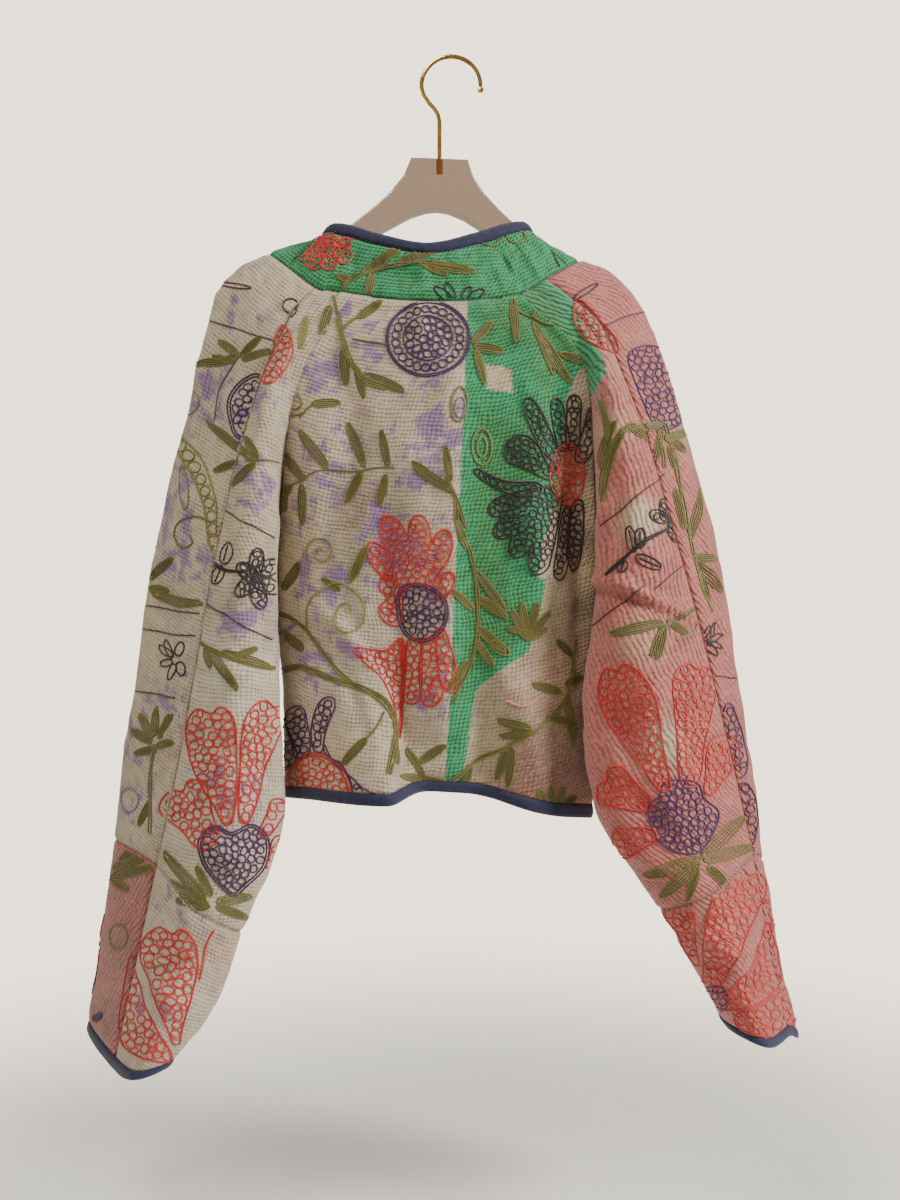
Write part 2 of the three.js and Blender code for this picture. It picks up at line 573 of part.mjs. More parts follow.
const HOOK_CENTRE = [0, 0, -26.5 + WIRE_RADIUS];
const HOOK_RADIUS = 26.5;
const SHAFT_X = -10.4;
const PLATE_TOP = -91;
const hookPoints = [];
for (let degrees = 2; degrees <= 184; degrees += 9.1) {
  const turn = (degrees * Math.PI) / 180;
  hookPoints.push([HOOK_RADIUS * Math.cos(turn), 0, HOOK_CENTRE[2] + HOOK_RADIUS * Math.sin(turn)]);
}
const neckOfHook = [[-24.6, 0, -33], [-20.3, 0, -39.4], [-15.2, 0, -45.2], [-11.8, 0, -50.5]];
const shaft = [[SHAFT_X, 0, -57], [SHAFT_X, 0, -75], [SHAFT_X, 0, PLATE_TOP - FERRULE_DEPTH + 1]];
const tip = [0, 1, 2, 3, 4].map((k) => {
  const turn = (k * Math.PI) / 5;
  return { p: [HOOK_RADIUS, 0, HOOK_CENTRE[2] - 4 - TIP_RADIUS * Math.cos(turn) + 1], r: Math.max(0.8, TIP_RADIUS * Math.sin(turn + 0.25)) };
});
const wire = [...tip.map((t) => t.p), ...hookPoints, ...neckOfHook, ...shaft];
const hookGeometry = bar(wire, wire.map((_, i) => (i < tip.length ? tip[i].r : WIRE_RADIUS)));

// The plate's half outline about its own middle line, top edge first, then the underside.
const PLATE_HALF_TOP = [
  [25.7, 0], [31.5, -15.5], [42, -30], [56, -44], [70, -56], [84, -68], [104, -80], [122, -92], [146, -103], [160, -112],
];
const PLATE_END = [[166, -118], [167, -123], [164, -127]];
const PLATE_HALF_UNDER = [[150, -122], [122, -111], [100, -98], [70, -80], [45, -66], [24, -53.5], [10, -48.3], [0, -47]];
const PLATE_TILT = -0.042;
const plateShape = new THREE.Shape();
const rightHalf = [...PLATE_HALF_TOP, ...PLATE_END, ...PLATE_HALF_UNDER];
const leftHalf = rightHalf.slice(0, -1).reverse().map(([x, z]) => [-x, z]);
[...rightHalf, ...leftHalf].forEach(([x, z], i) => (i ? plateShape.lineTo(x, z) : plateShape.moveTo(x, z)));
const plateBody = new THREE.ExtrudeGeometry(plateShape, {
  depth: PLATE_THICKNESS - 2 * PLATE_EDGE,
  bevelEnabled: true,
  bevelThickness: PLATE_EDGE,
  bevelSize: PLATE_EDGE,
  bevelOffset: -PLATE_EDGE,
  bevelSegments: 2,
});
plateBody.translate(0, 0, -(PLATE_THICKNESS - 2 * PLATE_EDGE) / 2);
plateBody.rotateX(Math.PI / 2);
plateBody.rotateY(-PLATE_TILT);
plateBody.translate(SHAFT_X, 0, PLATE_TOP);

const ferruleProfile = [
  [WIRE_RADIUS + 0.3, 0.6], [FERRULE_RADIUS, 0.6], [FERRULE_RADIUS, -FERRULE_DEPTH], [WIRE_RADIUS + 0.3, -FERRULE_DEPTH], [WIRE_RADIUS + 0.3, 0.6],
].reverse().map(([r, z]) => new THREE.Vector2(r, z));
const ferrule = new THREE.LatheGeometry(ferruleProfile, 20);
ferrule.rotateX(Math.PI / 2);
ferrule.translate(SHAFT_X, 0, PLATE_TOP);

// The bore for the ferrule is cut from the plate.
const wasm = await Module();
wasm.setup();
function toManifold(geometry) {
  const position = geometry.getAttribute("position");
  const found = new Map();
  const vertices = [];
  const ids = [];
  for (let i = 0; i < position.count; i += 1) {
    const p = [position.getX(i), position.getY(i), position.getZ(i)];
    const key = p.map((c) => Math.round(c * 1e4)).join(",");
    if (!found.has(key)) {
      found.set(key, vertices.length / 3);
      vertices.push(...p);
    }
    ids.push(found.get(key));
  }
  const order = geometry.index ? Array.from(geometry.index.array) : ids.map((_, i) => i);
  const triVerts = [];
  for (let i = 0; i < order.length; i += 3) {
    const [a, b, c] = [ids[order[i]], ids[order[i + 1]], ids[order[i + 2]]];
    if (a !== b && b !== c && a !== c) triVerts.push(a, b, c);
  }
  return new wasm.Manifold(new wasm.Mesh({ numProp: 3, vertProperties: new Float32Array(vertices), triVerts: new Uint32Array(triVerts) }));
}
const boreDepth = FERRULE_DEPTH + 0.4;
const bore = new THREE.CylinderGeometry(FERRULE_RADIUS + 0.3, FERRULE_RADIUS + 0.3, boreDepth + 5, 24);
bore.rotateX(Math.PI / 2);
bore.translate(SHAFT_X, 0, PLATE_TOP + (5 - boreDepth) / 2);
const plateMesh = toManifold(plateBody).subtract(toManifold(bore)).getMesh();
const plateGeometry = new THREE.BufferGeometry();
plateGeometry.setAttribute("position", new THREE.BufferAttribute(new Float32Array(plateMesh.vertProperties), 3));
plateGeometry.setIndex(Array.from(plateMesh.triVerts));
plateGeometry.computeVertexNormals();

// ---- the named pieces ----

const cloth = (color) => new THREE.MeshStandardMaterial({ color, roughness: 0.85, metalness: 0, side: THREE.FrontSide });
const COLOURS = {
  back: "#B5AE92", front_left: "#B9B09A", front_right: "#B08F7C",
  neck_band_left: "#3FA877", neck_band_back: "#3FAE79", neck_band_right: "#3FA877",
  sleeve_left_back: "#BDB3A4", sleeve_left_front: "#C0B6A8", sleeve_left_lower_back: "#C9BFAE", sleeve_left_lower_front: "#D39A93",
  sleeve_right_back: "#D39A93", sleeve_right_front: "#D08C88", sleeve_right_lower_back: "#D39A93", sleeve_right_lower_front: "#D39A93",
  neck_binding: "#26284A", hem_binding: "#26284A", cuff_binding_left: "#26284A", cuff_binding_right: "#26284A",
};

const jacket = new THREE.Group();
jacket.name = "jacket";
Object.entries(panels).forEach(([name, panel]) => {
  const mesh = new THREE.Mesh(clothWall(panel), cloth(COLOURS[name]));
  mesh.name = name;
  jacket.add(mesh);
});

const hanger = new THREE.Group();
hanger.name = "hanger";
[
  ["hanger_plate", plateGeometry, { color: "#A98C78", roughness: 0.15, metalness: 0 }],
  ["hanger_hook", hookGeometry, { color: "#C9A15A", roughness: 0.25, metalness: 1 }],
  ["hook_ferrule", ferrule, { color: "#C9A15A", roughness: 0.3, metalness: 1 }],
].forEach(([name, geometry, finish]) => {
  const mesh = new THREE.Mesh(geometry, new THREE.MeshStandardMaterial(finish));
  mesh.name = name;
  hanger.add(mesh);
});

const root = new THREE.Group();
root.add(jacket, hanger);
export default root;
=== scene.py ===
import math

import bpy
import numpy as np
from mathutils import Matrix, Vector


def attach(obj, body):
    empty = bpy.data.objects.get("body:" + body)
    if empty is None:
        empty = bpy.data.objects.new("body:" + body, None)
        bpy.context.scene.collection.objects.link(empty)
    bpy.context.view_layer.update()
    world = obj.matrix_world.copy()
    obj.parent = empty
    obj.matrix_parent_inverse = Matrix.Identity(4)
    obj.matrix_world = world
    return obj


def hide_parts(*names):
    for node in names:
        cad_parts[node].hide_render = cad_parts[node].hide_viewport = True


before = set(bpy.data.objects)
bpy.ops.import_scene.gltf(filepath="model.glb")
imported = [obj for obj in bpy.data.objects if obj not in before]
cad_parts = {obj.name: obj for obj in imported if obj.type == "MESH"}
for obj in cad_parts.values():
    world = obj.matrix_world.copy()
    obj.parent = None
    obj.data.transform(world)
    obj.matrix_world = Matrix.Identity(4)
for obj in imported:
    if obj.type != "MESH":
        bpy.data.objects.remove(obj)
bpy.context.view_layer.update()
MM = 0.001
SEED = 11
# The camera's eye in millimetres, and the view grid that it sees: places on the shown side are given on it.
EYE = np.array([-0.9, -1150.0, -487.2])
VIEW_WIDE, VIEW_HIGH = 900, 1200
VIEW_MM = 0.9

# ---------------------------------------------------------------- the jacket's surfaces
# The same sections as the solids', in millimetres.
SECTION = "zSeam xSeam ySeam rise xOut yOut drop xIn yIn yCrest xBack yBack xFront yFront xFar yFar".split()
BODY_NAMES = (
    "zBack yBack zBand yBand xBandL xBandR zEdge yEdge xEdgeL xEdgeR "
    "xSideL ySideL zSideL xSideR ySideR zSideR"
).split()


def table(names, rows):
    return {name: np.array([row[k] for row in rows], float) for k, name in enumerate(names)}


SLEEVE = {
    "L": table(SECTION, [
        (-212, -120, -27, 34, -161, -6, -5, -99, -31, -29, -86, -34, -154, 16, -160, 8),
        (-228, -135, -31, 37, -185, -6, -12, -114, -37, -35, -104, -39, -168, 21, -181, 10),
        (-254, -148, -36, 41, -207, -4, -11, -130, -43, -43, -121, -43, -170, 29, -195, 18),
        (-298, -166, -43, 39, -223, 2, -7, -145, -52, -54, -136, -41, -167, 36, -200, 38),
        (-354, -182, -49, 31, -238, 6, -6, -150, -56, -64, -146, -33, -167, 32, -209, 46),
        (-418, -197, -52, 30, -256, 8, -6, -151, -57, -72, -153, -20, -165, 18, -217, 52),
        (-480, -209, -53, 18, -272, 10, -5, -151, -56, -77, -160, -4, -160, -4, -227, 52),
        (-565, -224, -52, 16, -285, 12, -11, -150, -56, -80, -163, -12, -163, -12, -231, 50),
        (-647, -240, -49, 10, -298, 14, -33, -147, -58, -83, -163, -14, -163, -14, -239, 48),
        (-717, -256, -45, 12, -307, 17, -54, -180, -58, -84, -200, -14, -200, -14, -262, 48),
        (-813, -277, -41, 9, -322, 22, -28, -206, -55, -81, -229, -13, -229, -13, -289, 47),
        (-894, -295, -38, 10, -335, 28, 7, -243, -54, -78, -261, -10, -261, -10, -312, 46),
    ]),
    "R": table(SECTION, [
        (-204, 84, -27, 21, 113, -6, -11, 68, -31, -29, 60, -34, 107, 16, 112, 8),
        (-222, 106, -31, 29, 137, -6, -13, 91, -37, -35, 83, -39, 124, 21, 134, 10),
        (-245, 130, -36, 32, 162, -4, -14, 113, -43, -42, 106, -43, 134, 29, 152, 18),
        (-284, 147, -43, 29, 185, 2, -12, 127, -52, -54, 120, -41, 138, 36, 165, 38),
        (-348, 170, -49, 25, 208, 6, -7, 128, -56, -64, 125, -33, 142, 32, 181, 46),
        (-418, 190, -50, 24, 229, 8, -8, 127, -57, -70, 130, -20, 142, 18, 193, 52),
        (-483, 209, -46, 14, 246, 10, -6, 125, -55, -74, 134, -4, 134, -4, 200, 52),
        (-564, 231, -38, 0, 260, 12, -9, 116, -56, -76, 138, -12, 138, -12, 211, 50),
        (-652, 253, -30, -3, 272, 14, -13, 126, -58, -78, 148, -14, 148, -14, 228, 50),
        (-713, 268, -22, -13, 282, 16, -39, 179, -58, -78, 200, -12, 200, -12, 253, 50),
        (-802, 285, -17, -9, 298, 15, -4, 212, -55, -76, 224, -8, 224, -8, 268, 49),
        (-875, 301, -14, -9, 313, 12, 19, 240, -54, -74, 243, -2, 243, -2, 274, 46),
    ]),
}
UNDERARM, LOWER, CUFF, HEM = 6, 9, 11, 9
TOP_SIDES = (-160, -4, -485, 134, -4, -489)
BODY = table(BODY_NAMES, [
    (-228, -44, -192, 27, -142, 93, -166, 24, -98, 50, *TOP_SIDES),
    (-250, -48, -222, 33, -137, 89, -200, 31, -88, 41, *TOP_SIDES),
    (-274, -51, -257, 39, -129, 84, -240, 38, -78, 34, *TOP_SIDES),
    (-309, -54, -300, 46, -117, 76, -288, 47, -66, 25, *TOP_SIDES),
    (-360, -56, -355, 56, -103, 68, -348, 58, -51, 16, *TOP_SIDES),
    (-420, -56, -413, 62, -93, 61, -409, 64, -41, 9, *TOP_SIDES),
    (-480, -54, -480, 64, -87, 57, -478, 66, -35, 5, *TOP_SIDES),
    (-560, -52, -560, 64, -86, 58, -559, 66, -34, 6, -151, -2, -562, 129, 0, -566),
    (-610, -46, -613, 63, -87, 61, -612, 65, -35, 9, -150, 0, -616, 129, 2, -628),
    (-652, -40, -662, 62, -89, 64, -660, 64, -37, 12, -150, 2, -664, 127, 4, -683),
])
NECK = np.array([
    (-88, 31, -200), (-98, 24, -166), (-109, 1, -151), (-93, -14, -153), (-62, -25, -165),
    (-20, -34, -175), (21, -26, -164), (50, -14, -152), (67, 1, -149), (50, 24, -166), (41, 31, -200),
], float)
# top x z, bottom x z, bend, height from to, spread left right
FOLDS = [
    (-120, -513, -52, -655, 0.5, 2, 40, 85, 19),
    (85, -540, 90, -683, 1, 0, 24, 42, 34),
    (-40, -330, -10, -560, 1, 3, 4, 22, 22),
    (70, -300, 60, -520, 1, 3, 5, 24, 24),
]


def smooth(lo, hi, t):
    s = np.clip((np.asarray(t, float) - lo) / (hi - lo), 0, 1)
    return s * s * (3 - 2 * s)


def lerp(a, b, t):
    return a + (b - a) * t


def unit(a):
    return a / np.maximum(np.linalg.norm(a, axis=-1, keepdims=True), 1e-9)


def along(values, t):
    """Catmull-Rom through a list of values or points, with straight ends."""
    values = np.asarray(values, float)
    t = np.asarray(t, float)
    last = len(values) - 1
    i = np.clip(np.floor(t).astype(int), 0, last - 1)
    u = t - i
    if values.ndim > 1:
        u = u[..., None]
    b, c = values[i], values[i + 1]
    flat = i if values.ndim == 1 else i[..., None]
    a = np.where(flat > 0, values[np.maximum(i - 1, 0)], 2 * b - c)
    d = np.where(flat + 2 <= last, values[np.minimum(i + 2, last)], 2 * c - b)
    return 0.5 * (2 * b + (c - a) * u + (2 * a - 5 * b + 4 * c - d) * u**2 + (3 * b - a - 3 * c + d) * u**3)


def sleeve_curve(side, v, s):
    """Points of a sleeve's section at row v, for places s round it."""
    at = {name: float(along(column, v)) for name, column in SLEEVE[side].items()}
    seam = np.array([at["xSeam"], at["ySeam"], at["zSeam"]])
    out = np.array([at["xOut"], at["yOut"], seam[2] + at["rise"]])
    inner = np.array([at["xIn"], at["yIn"], seam[2] + at["drop"]])

    def place(x, y):
        to_out = (x - seam[0]) / (out[0] - seam[0])
        to_in = (x - seam[0]) / (inner[0] - seam[0])
        z = lerp(seam[2], out[2], to_out) if to_out > 0 else lerp(seam[2], inner[2], to_in)
        return np.array([x, y, z])

    back = place(at["xBack"], at["yBack"])
    front = back if v >= UNDERARM else place(at["xFront"], at["yFront"])
    crest = place(lerp(inner[0], seam[0], 0.45), at["yCrest"])
    far = place(at["xFar"], at["yFar"])
    closed = float(smooth(UNDERARM, UNDERARM + 1, v))
    before = lerp(2 * back - inner, far, closed)
    after = lerp(2 * front - far, inner, closed)
    return along(np.array([before, back, inner, crest, seam, out, far, front, after]), np.asarray(s) + 1)


def run_along(points):
    """How far each point lies along a line of points."""
    return np.concatenate([[0], np.cumsum(np.linalg.norm(np.diff(points, axis=0), axis=1))])


def evenly(points, count):
    """The same line in equal steps."""
    run = run_along(points)
    want = np.linspace(0, run[-1], count + 1)
    return np.stack([np.interp(want, run, column) for column in points.T], 1)


AT_BACK, AT_SEAM, AT_FRONT = 0.0, 3.0, 6.0  # places round a sleeve's section


def sleeve_point(side, v, s):
    return sleeve_curve(side, v, np.array([s]))[0]


def sleeve_row(side, v, from_s, to_s, count):
    return evenly(sleeve_curve(side, v, np.linspace(from_s, to_s, 160)), count)


def body_side(side, v):
    return np.array([float(along(BODY[axis + "Side" + side][6:], v - 6)) for axis in "xyz"])


def back_edge(side, v):
    return sleeve_point(side, v, AT_BACK) if v <= UNDERARM else body_side(side, v)


def front_edge(side, v):
    return sleeve_point(side, v, AT_FRONT) if v <= UNDERARM else body_side(side, v)


def back_row(v, count):
    a, b = back_edge("L", v), back_edge("R", v)
    q = np.linspace(-1, 1, 240)
    power = lerp(2.2, 2, smooth(5, 6, v)) + 0.2 * smooth(6, 7.5, v)
    shape = (1 - np.abs(q) ** power) ** lerp(1, 0.47, smooth(3.5, 6, v))
    z = float(along(BODY["zBack"], v))
    p = np.stack([
        lerp(a[0], b[0], (q + 1) / 2),
        lerp(lerp(a[1], b[1], (q + 1) / 2), float(along(BODY["yBack"], v)), shape),
        z + (b[2] - a[2]) / 2 * q + ((a[2] + b[2]) / 2 - z) * q * q,
    ], 1)
    for x0, z0, x1, z1, bend, low, high, left, right in FOLDS:
        t = (p[:, 2] - z0) / (z1 - z0)
        held = np.clip(t, 0, 1.05)
        d = p[:, 0] - lerp(x0, x1, held**bend)
        spread = np.where(d < 0, left, right)
        lift = lerp(low, high, held) * smooth(-0.4, 0.1, t) * (1 - q**4) * np.exp(-((d / spread) ** 2))
        p[:, 1] -= lift
        p[:, 2] -= 0.25 * lift * smooth(0.4, 1, t)
    return evenly(p, count)


def band_seam(side, v):
    return np.array([float(along(BODY[n], v)) for n in ("xBand" + side, "yBand", "zBand")])


def band_edge(side, v):
    return np.array([float(along(BODY[n], v)) for n in ("xEdge" + side, "yEdge", "zEdge")])


def front_row(side, v, count):
    a, b = front_edge(side, v), band_seam(side, v)
    q = np.linspace(0, 1, 120)[:, None]
    rounding = float(smooth(3.5, 6, v))
    across = lerp(q, 1 - np.cos(q * math.pi / 2), rounding)
    forward = lerp(q, np.sin(q * math.pi / 2), rounding)
    bulge = 12 * q * (1 - q) * float(smooth(0.5, 2.5, v)) * (1 - rounding)
    p = np.hstack([lerp(a[0], b[0], across), lerp(a[1], b[1], forward) + bulge, lerp(a[2], b[2], q)])
    return evenly(p, count)


# ---------------------------------------------------------------- fine grids, grid[i, j]
CELL = 4.0
BINDING_WIDTH, BAND_WIDTH = 8, 56
LAST_BODY_ROW, LAST_SLEEVE_ROW = 43, 78  # how far the last two sections lie apart
HEM_START, CUFF_START = HEM - BINDING_WIDTH / LAST_BODY_ROW, CUFF - BINDING_WIDTH / LAST_SLEEVE_ROW
BAND_STOP = 1 - BINDING_WIDTH / BAND_WIDTH
N_TAPE = 4  # cells across a binding


def rows_between(v0, v1, line):
    v = np.linspace(v0, v1, 120)
    p = np.array([line(t) for t in v])
    run = run_along(p)
    return np.interp(np.linspace(0, run[-1], max(2, round(run[-1] / CELL)) + 1), run, v)


def grid_of(rows, row):
    return np.stack([row(v) for v in rows], 1)


def sleeve_halves(side, rows):
    back = grid_of(rows, lambda v: sleeve_row(side, v, AT_BACK, AT_SEAM, N_BACK))
    return back, grid_of(rows, lambda v: sleeve_row(side, v, AT_SEAM, AT_FRONT, N_FRONT))


# cells across the sleeves' back and front parts, the back, each front piece and the band
N_BACK, N_FRONT, N_BODY, N_SIDE, N_BAND = 34, 50, 84, 26, 13
SHOULDER = round(N_FRONT * 0.42)
upper = rows_between(0, UNDERARM, lambda v: sleeve_point("L", v, AT_SEAM))
body_rows = np.concatenate([upper, rows_between(UNDERARM, HEM_START, lambda v: body_side("L", v))[1:]])
grids = {}
for side, word in (("L", "left"), ("R", "right")):
    rows = [
        np.concatenate([upper, rows_between(UNDERARM, LOWER, lambda v: sleeve_point(side, v, AT_SEAM))[1:]]),
        rows_between(LOWER, CUFF_START, lambda v: sleeve_point(side, v, AT_SEAM)),
    ]
    for name, r in zip((f"sleeve_{word}", f"sleeve_{word}_lower"), rows):
        grids[name + "_back"], grids[name + "_front"] = sleeve_halves(side, r)
    near, far = sleeve_halves(side, np.linspace(CUFF_START, CUFF, N_TAPE + 1))
    grids[f"cuff_binding_{word}"] = np.concatenate([near, far[1:]])
    grids[f"front_{word}"] = grid_of(body_rows, lambda v: front_row(side, v, N_SIDE))
grids["back"] = grid_of(body_rows, lambda v: back_row(v, N_BODY))


def neck_run(points, t0, t1):
    return [(p, along(NECK, t)) for p, t in zip(points, np.linspace(t0, t1, len(points)))]


def front_run(side):
    return [(band_seam(side, v), band_edge(side, v)) for v in body_rows]


def join(*runs):
    out = list(runs[0])
    for run in runs[1:]:
        out += list(run)[1:]
    return out


def across_band(run, t0, t1, count):
    return np.array([[lerp(a, b, t) for t in np.linspace(t0, t1, count + 1)] for a, b in run])


top = {name: grid[:, 0] for name, grid in grids.items()}
band_runs = {
    "neck_band_left": join(
        front_run("L")[::-1],
        neck_run(top["front_left"][::-1], 1, 1.25),
        neck_run(top["sleeve_left_front"][SHOULDER:][::-1], 1.25, 2),
    ),
    "neck_band_back": join(
        neck_run(top["sleeve_left_front"][: SHOULDER + 1][::-1], 2, 3),
        neck_run(top["sleeve_left_back"][::-1], 3, 3.75),
        neck_run(top["back"], 3.75, 6.25),
        neck_run(top["sleeve_right_back"], 6.25, 7),
        neck_run(top["sleeve_right_front"][: SHOULDER + 1], 7, 8),
    ),
    "neck_band_right": join(
        neck_run(top["sleeve_right_front"][SHOULDER:], 8, 8.75),
        neck_run(top["front_right"], 8.75, 9),
        front_run("R"),
    ),
}
for name, run in band_runs.items():
    grids[name] = across_band(run, 0, BAND_STOP, N_BAND)
grids["neck_binding"] = across_band(join(*band_runs.values()), BAND_STOP, 1, N_TAPE)


def hem_row(v):
    def band(side):
        return across_band([(band_seam(side, v), band_edge(side, v))], 0, 1, N_BAND + 3)[0]

    parts = [
        band("L")[::-1], front_row("L", v, N_SIDE)[::-1], back_row(v, N_BODY), front_row("R", v, N_SIDE),
        band("R"),
    ]
    return np.array(join(*parts))


grids["hem_binding"] = grid_of(np.linspace(HEM_START, HEM, N_TAPE + 1), hem_row)
CLOSED = {"cuff_binding_left", "cuff_binding_right"}


def normals_of(grid, closed):
    g = np.concatenate([grid[-2:-1], grid, grid[1:2]]) if closed else grid
    du = np.gradient(g, axis=0)
    dv = np.gradient(g, axis=1)
    n = unit(np.cross(du, dv))
    return n[1:-1] if closed else n


# which way is out, half way along each piece that isn't part of a sleeve
OUTWARD = {
    "back": (0, -1, 0), "front_left": (0, 1, 0), "front_right": (0, 1, 0), "hem_binding": (0, -1, 0),
    "neck_band_back": (0, -1, 0.3), "neck_band_left": (0, 1, 0.2), "neck_band_right": (0, 1, 0.2),
    "neck_binding": (0, -1, 0.3),
}
normals = {}
for name, grid in grids.items():
    n = normals_of(grid, name in CLOSED)
    if name in OUTWARD:
        i = {"neck_band_left": 30, "neck_band_right": len(grid) - 30}.get(name, len(grid) // 2)
        sign = np.dot(n[i, grid.shape[1] // 2], OUTWARD[name])
    else:
        j = grid.shape[1] // 2
        halves = [grids[name.replace(a, b)][:, j] for a, b in (("_front", "_back"), ("_back", "_front"))]
        sign = np.sum((grid[:, j] - np.concatenate(halves).mean(0)) * n[:, j])
    normals[name] = n if sign > 0 else -n


# ---------------------------------------------------------------- from the view grid to the pieces
def in_view(p):
    scale = VIEW_MM * (1 - p[..., 1] / EYE[1])
    x = VIEW_WIDE / 2 + (p[..., 0] - EYE[0]) / scale
    y = VIEW_HIGH / 2 - (p[..., 2] - EYE[2]) / scale
    return np.stack([x, y], -1)


FACING = 0.12  # how far a place has to turn to the eye to count as shown
SHORT = {
    "B": "back", "NB": "neck_band_back", "LO": "sleeve_left_front", "LI": "sleeve_left_back",
    "LP": "sleeve_left_lower_front", "LL": "sleeve_left_lower_back", "RI": "sleeve_right_back",
    "RO": "sleeve_right_front", "RL": "sleeve_right_lower_back", "RP": "sleeve_right_lower_front",
    "FL": "front_left", "FR": "front_right", "NL": "neck_band_left", "NR": "neck_band_right",
}
seen = {}
for name in grids:
    g, n = grids[name], normals[name]
    seen[name] = (in_view(g), np.sum(n * unit(EYE - g), -1) > FACING)


def to_grid(name, points):
    """View points as fractional grid places on a piece, carried past its edges in a straight line."""
    px, facing = seen[name]
    points = np.atleast_2d(np.asarray(points, float))
    away = np.where(facing, 0, 4e4).ravel()
    nearest = np.concatenate([
        np.argmin(np.sum((px.reshape(1, -1, 2) - part[:, None]) ** 2, -1) + away, 1)
        for part in np.array_split(points, max(1, len(points) // 200))
    ])
    i, j = np.unravel_index(nearest, facing.shape)
    a, b = np.gradient(px, axis=0)[i, j], np.gradient(px, axis=1)[i, j]
    det = a[:, 0] * b[:, 1] - a[:, 1] * b[:, 0]
    det = np.where(np.abs(det) > 0.4, det, np.inf)
    off = points - px[i, j]
    di = (off[:, 0] * b[:, 1] - off[:, 1] * b[:, 0]) / det
    dj = (a[:, 0] * off[:, 1] - a[:, 1] * off[:, 0]) / det
    return np.stack([i + np.clip(di, -30, 30), j + np.clip(dj, -30, 30)], 1)


# ---------------------------------------------------------------- soft creases and puckers
def value_noise(shape, step, seed):
    """Smooth noise on a grid, one value each step cells."""
    r = np.random.default_rng(seed)
    m, k = shape
    small = r.uniform(-1, 1, (int(m / step) + 4, int(k / step) + 4))
    a = along(small, np.arange(m) / step + 1)
    return along(a.T, np.arange(k) / step + 1).T


# piece, points along the crease on the view grid, depth (mm, minus for a trough), width (mm)
CREASES = [
    ("RI", [(588, 580), (612, 584), (640, 594), (668, 606), (692, 618)], 7.5, 4.2),
    ("RI", [(590, 589), (614, 594), (640, 603), (668, 615), (692, 626)], -5.0, 4.5),
    ("RI", [(604, 420), (616, 490), (624, 556)], -4.5, 12),
    ("RI", [(640, 396), (656, 470), (668, 560)], 3.0, 12),
    ("RI", [(640, 640), (662, 720), (700, 800)], 4.0, 14),
    ("RI", [(596, 640), (612, 700), (640, 770)], -4.0, 11),
    ("RI", [(606, 796), (640, 852), (690, 885)], 4.0, 10),
    ("RI", [(630, 780), (664, 830), (700, 850)], -3.5, 11),
    ("RO", [(668, 400), (700, 520), (716, 600)], 3.4, 10),
    ("RO", [(700, 560), (722, 640), (742, 740)], -3.6, 9),
    ("RO", [(700, 600), (716, 616), (728, 620)], 3.5, 6),
    ("LI", [(274, 470), (250, 520), (222, 560)], 4.6, 9),
    ("LI", [(275, 545), (248, 592), (214, 622)], -4.6, 10),
    ("LI", [(276, 690), (240, 670), (206, 660)], 3.8, 12),
    ("LI", [(278, 790), (250, 760), (214, 740)], -4.0, 13),
    ("LI", [(262, 880), (222, 850), (190, 842)], 4.5, 11),
    ("LI", [(272, 610), (262, 700), (268, 790)], -3.4, 10),
    ("LO", [(214, 330), (196, 420), (182, 520)], 4.0, 11),
    ("LO", [(176, 560), (158, 640), (150, 720)], -4.0, 10),
    ("LO", [(188, 600), (172, 700), (160, 800)], 3.6, 8),
    ("LO", [(236, 300), (214, 380), (206, 440)], -3.4, 9),
    ("LL", [(225, 930), (180, 962), (140, 990)], -4.0, 10),
    ("LL", [(190, 1010), (160, 990), (140, 960)], 3.6, 10),
    ("RL", [(700, 955), (736, 980), (770, 986)], -3.6, 9),
    ("RL", [(680, 920), (716, 950), (752, 950)], 3.4, 10),
    ("B", [(300, 604), (336, 626), (362, 656), (384, 700), (396, 760)], 6.0, 7),
    ("B", [(296, 630), (330, 650), (352, 684), (366, 740)], -5.0, 10),
    ("B", [(408, 640), (404, 700), (408, 770)], -6.5, 8),
    ("B", [(386, 470), (392, 560), (400, 640)], -6.0, 15),
    ("B", [(330, 330), (352, 420), (350, 520)], -4.5, 15),
    ("B", [(312, 400), (316, 480), (304, 560)], 4.0, 14),
    ("B", [(420, 300), (452, 400), (452, 520), (450, 660), (446, 780)], 5.0, 15),
    ("B", [(500, 420), (504, 520), (498, 600)], -3.6, 16),
    ("B", [(520, 300), (556, 380), (566, 470)], -5.0, 14),
    ("B", [(538, 470), (536, 560), (540, 640)], 4.5, 13),
    ("B", [(582, 440), (580, 560), (578, 680)], -9.0, 13),
    ("B", [(500, 660), (530, 730), (540, 800)], 4.5, 13),
    ("B", [(480, 660), (480, 730), (476, 790)], -5.0, 12),
    ("B", [(286, 520), (300, 600), (296, 700)], -4.5, 10),
    ("B", [(346, 300), (380, 310), (430, 308)], -2.5, 10),
    ("NB", [(330, 250), (400, 276), (470, 282)], -2.6, 9),
    ("NB", [(500, 262), (540, 248), (556, 240)], 2.4, 7),
    ("NB", [(420, 250), (424, 270), (430, 292)], 1.8, 7),
]
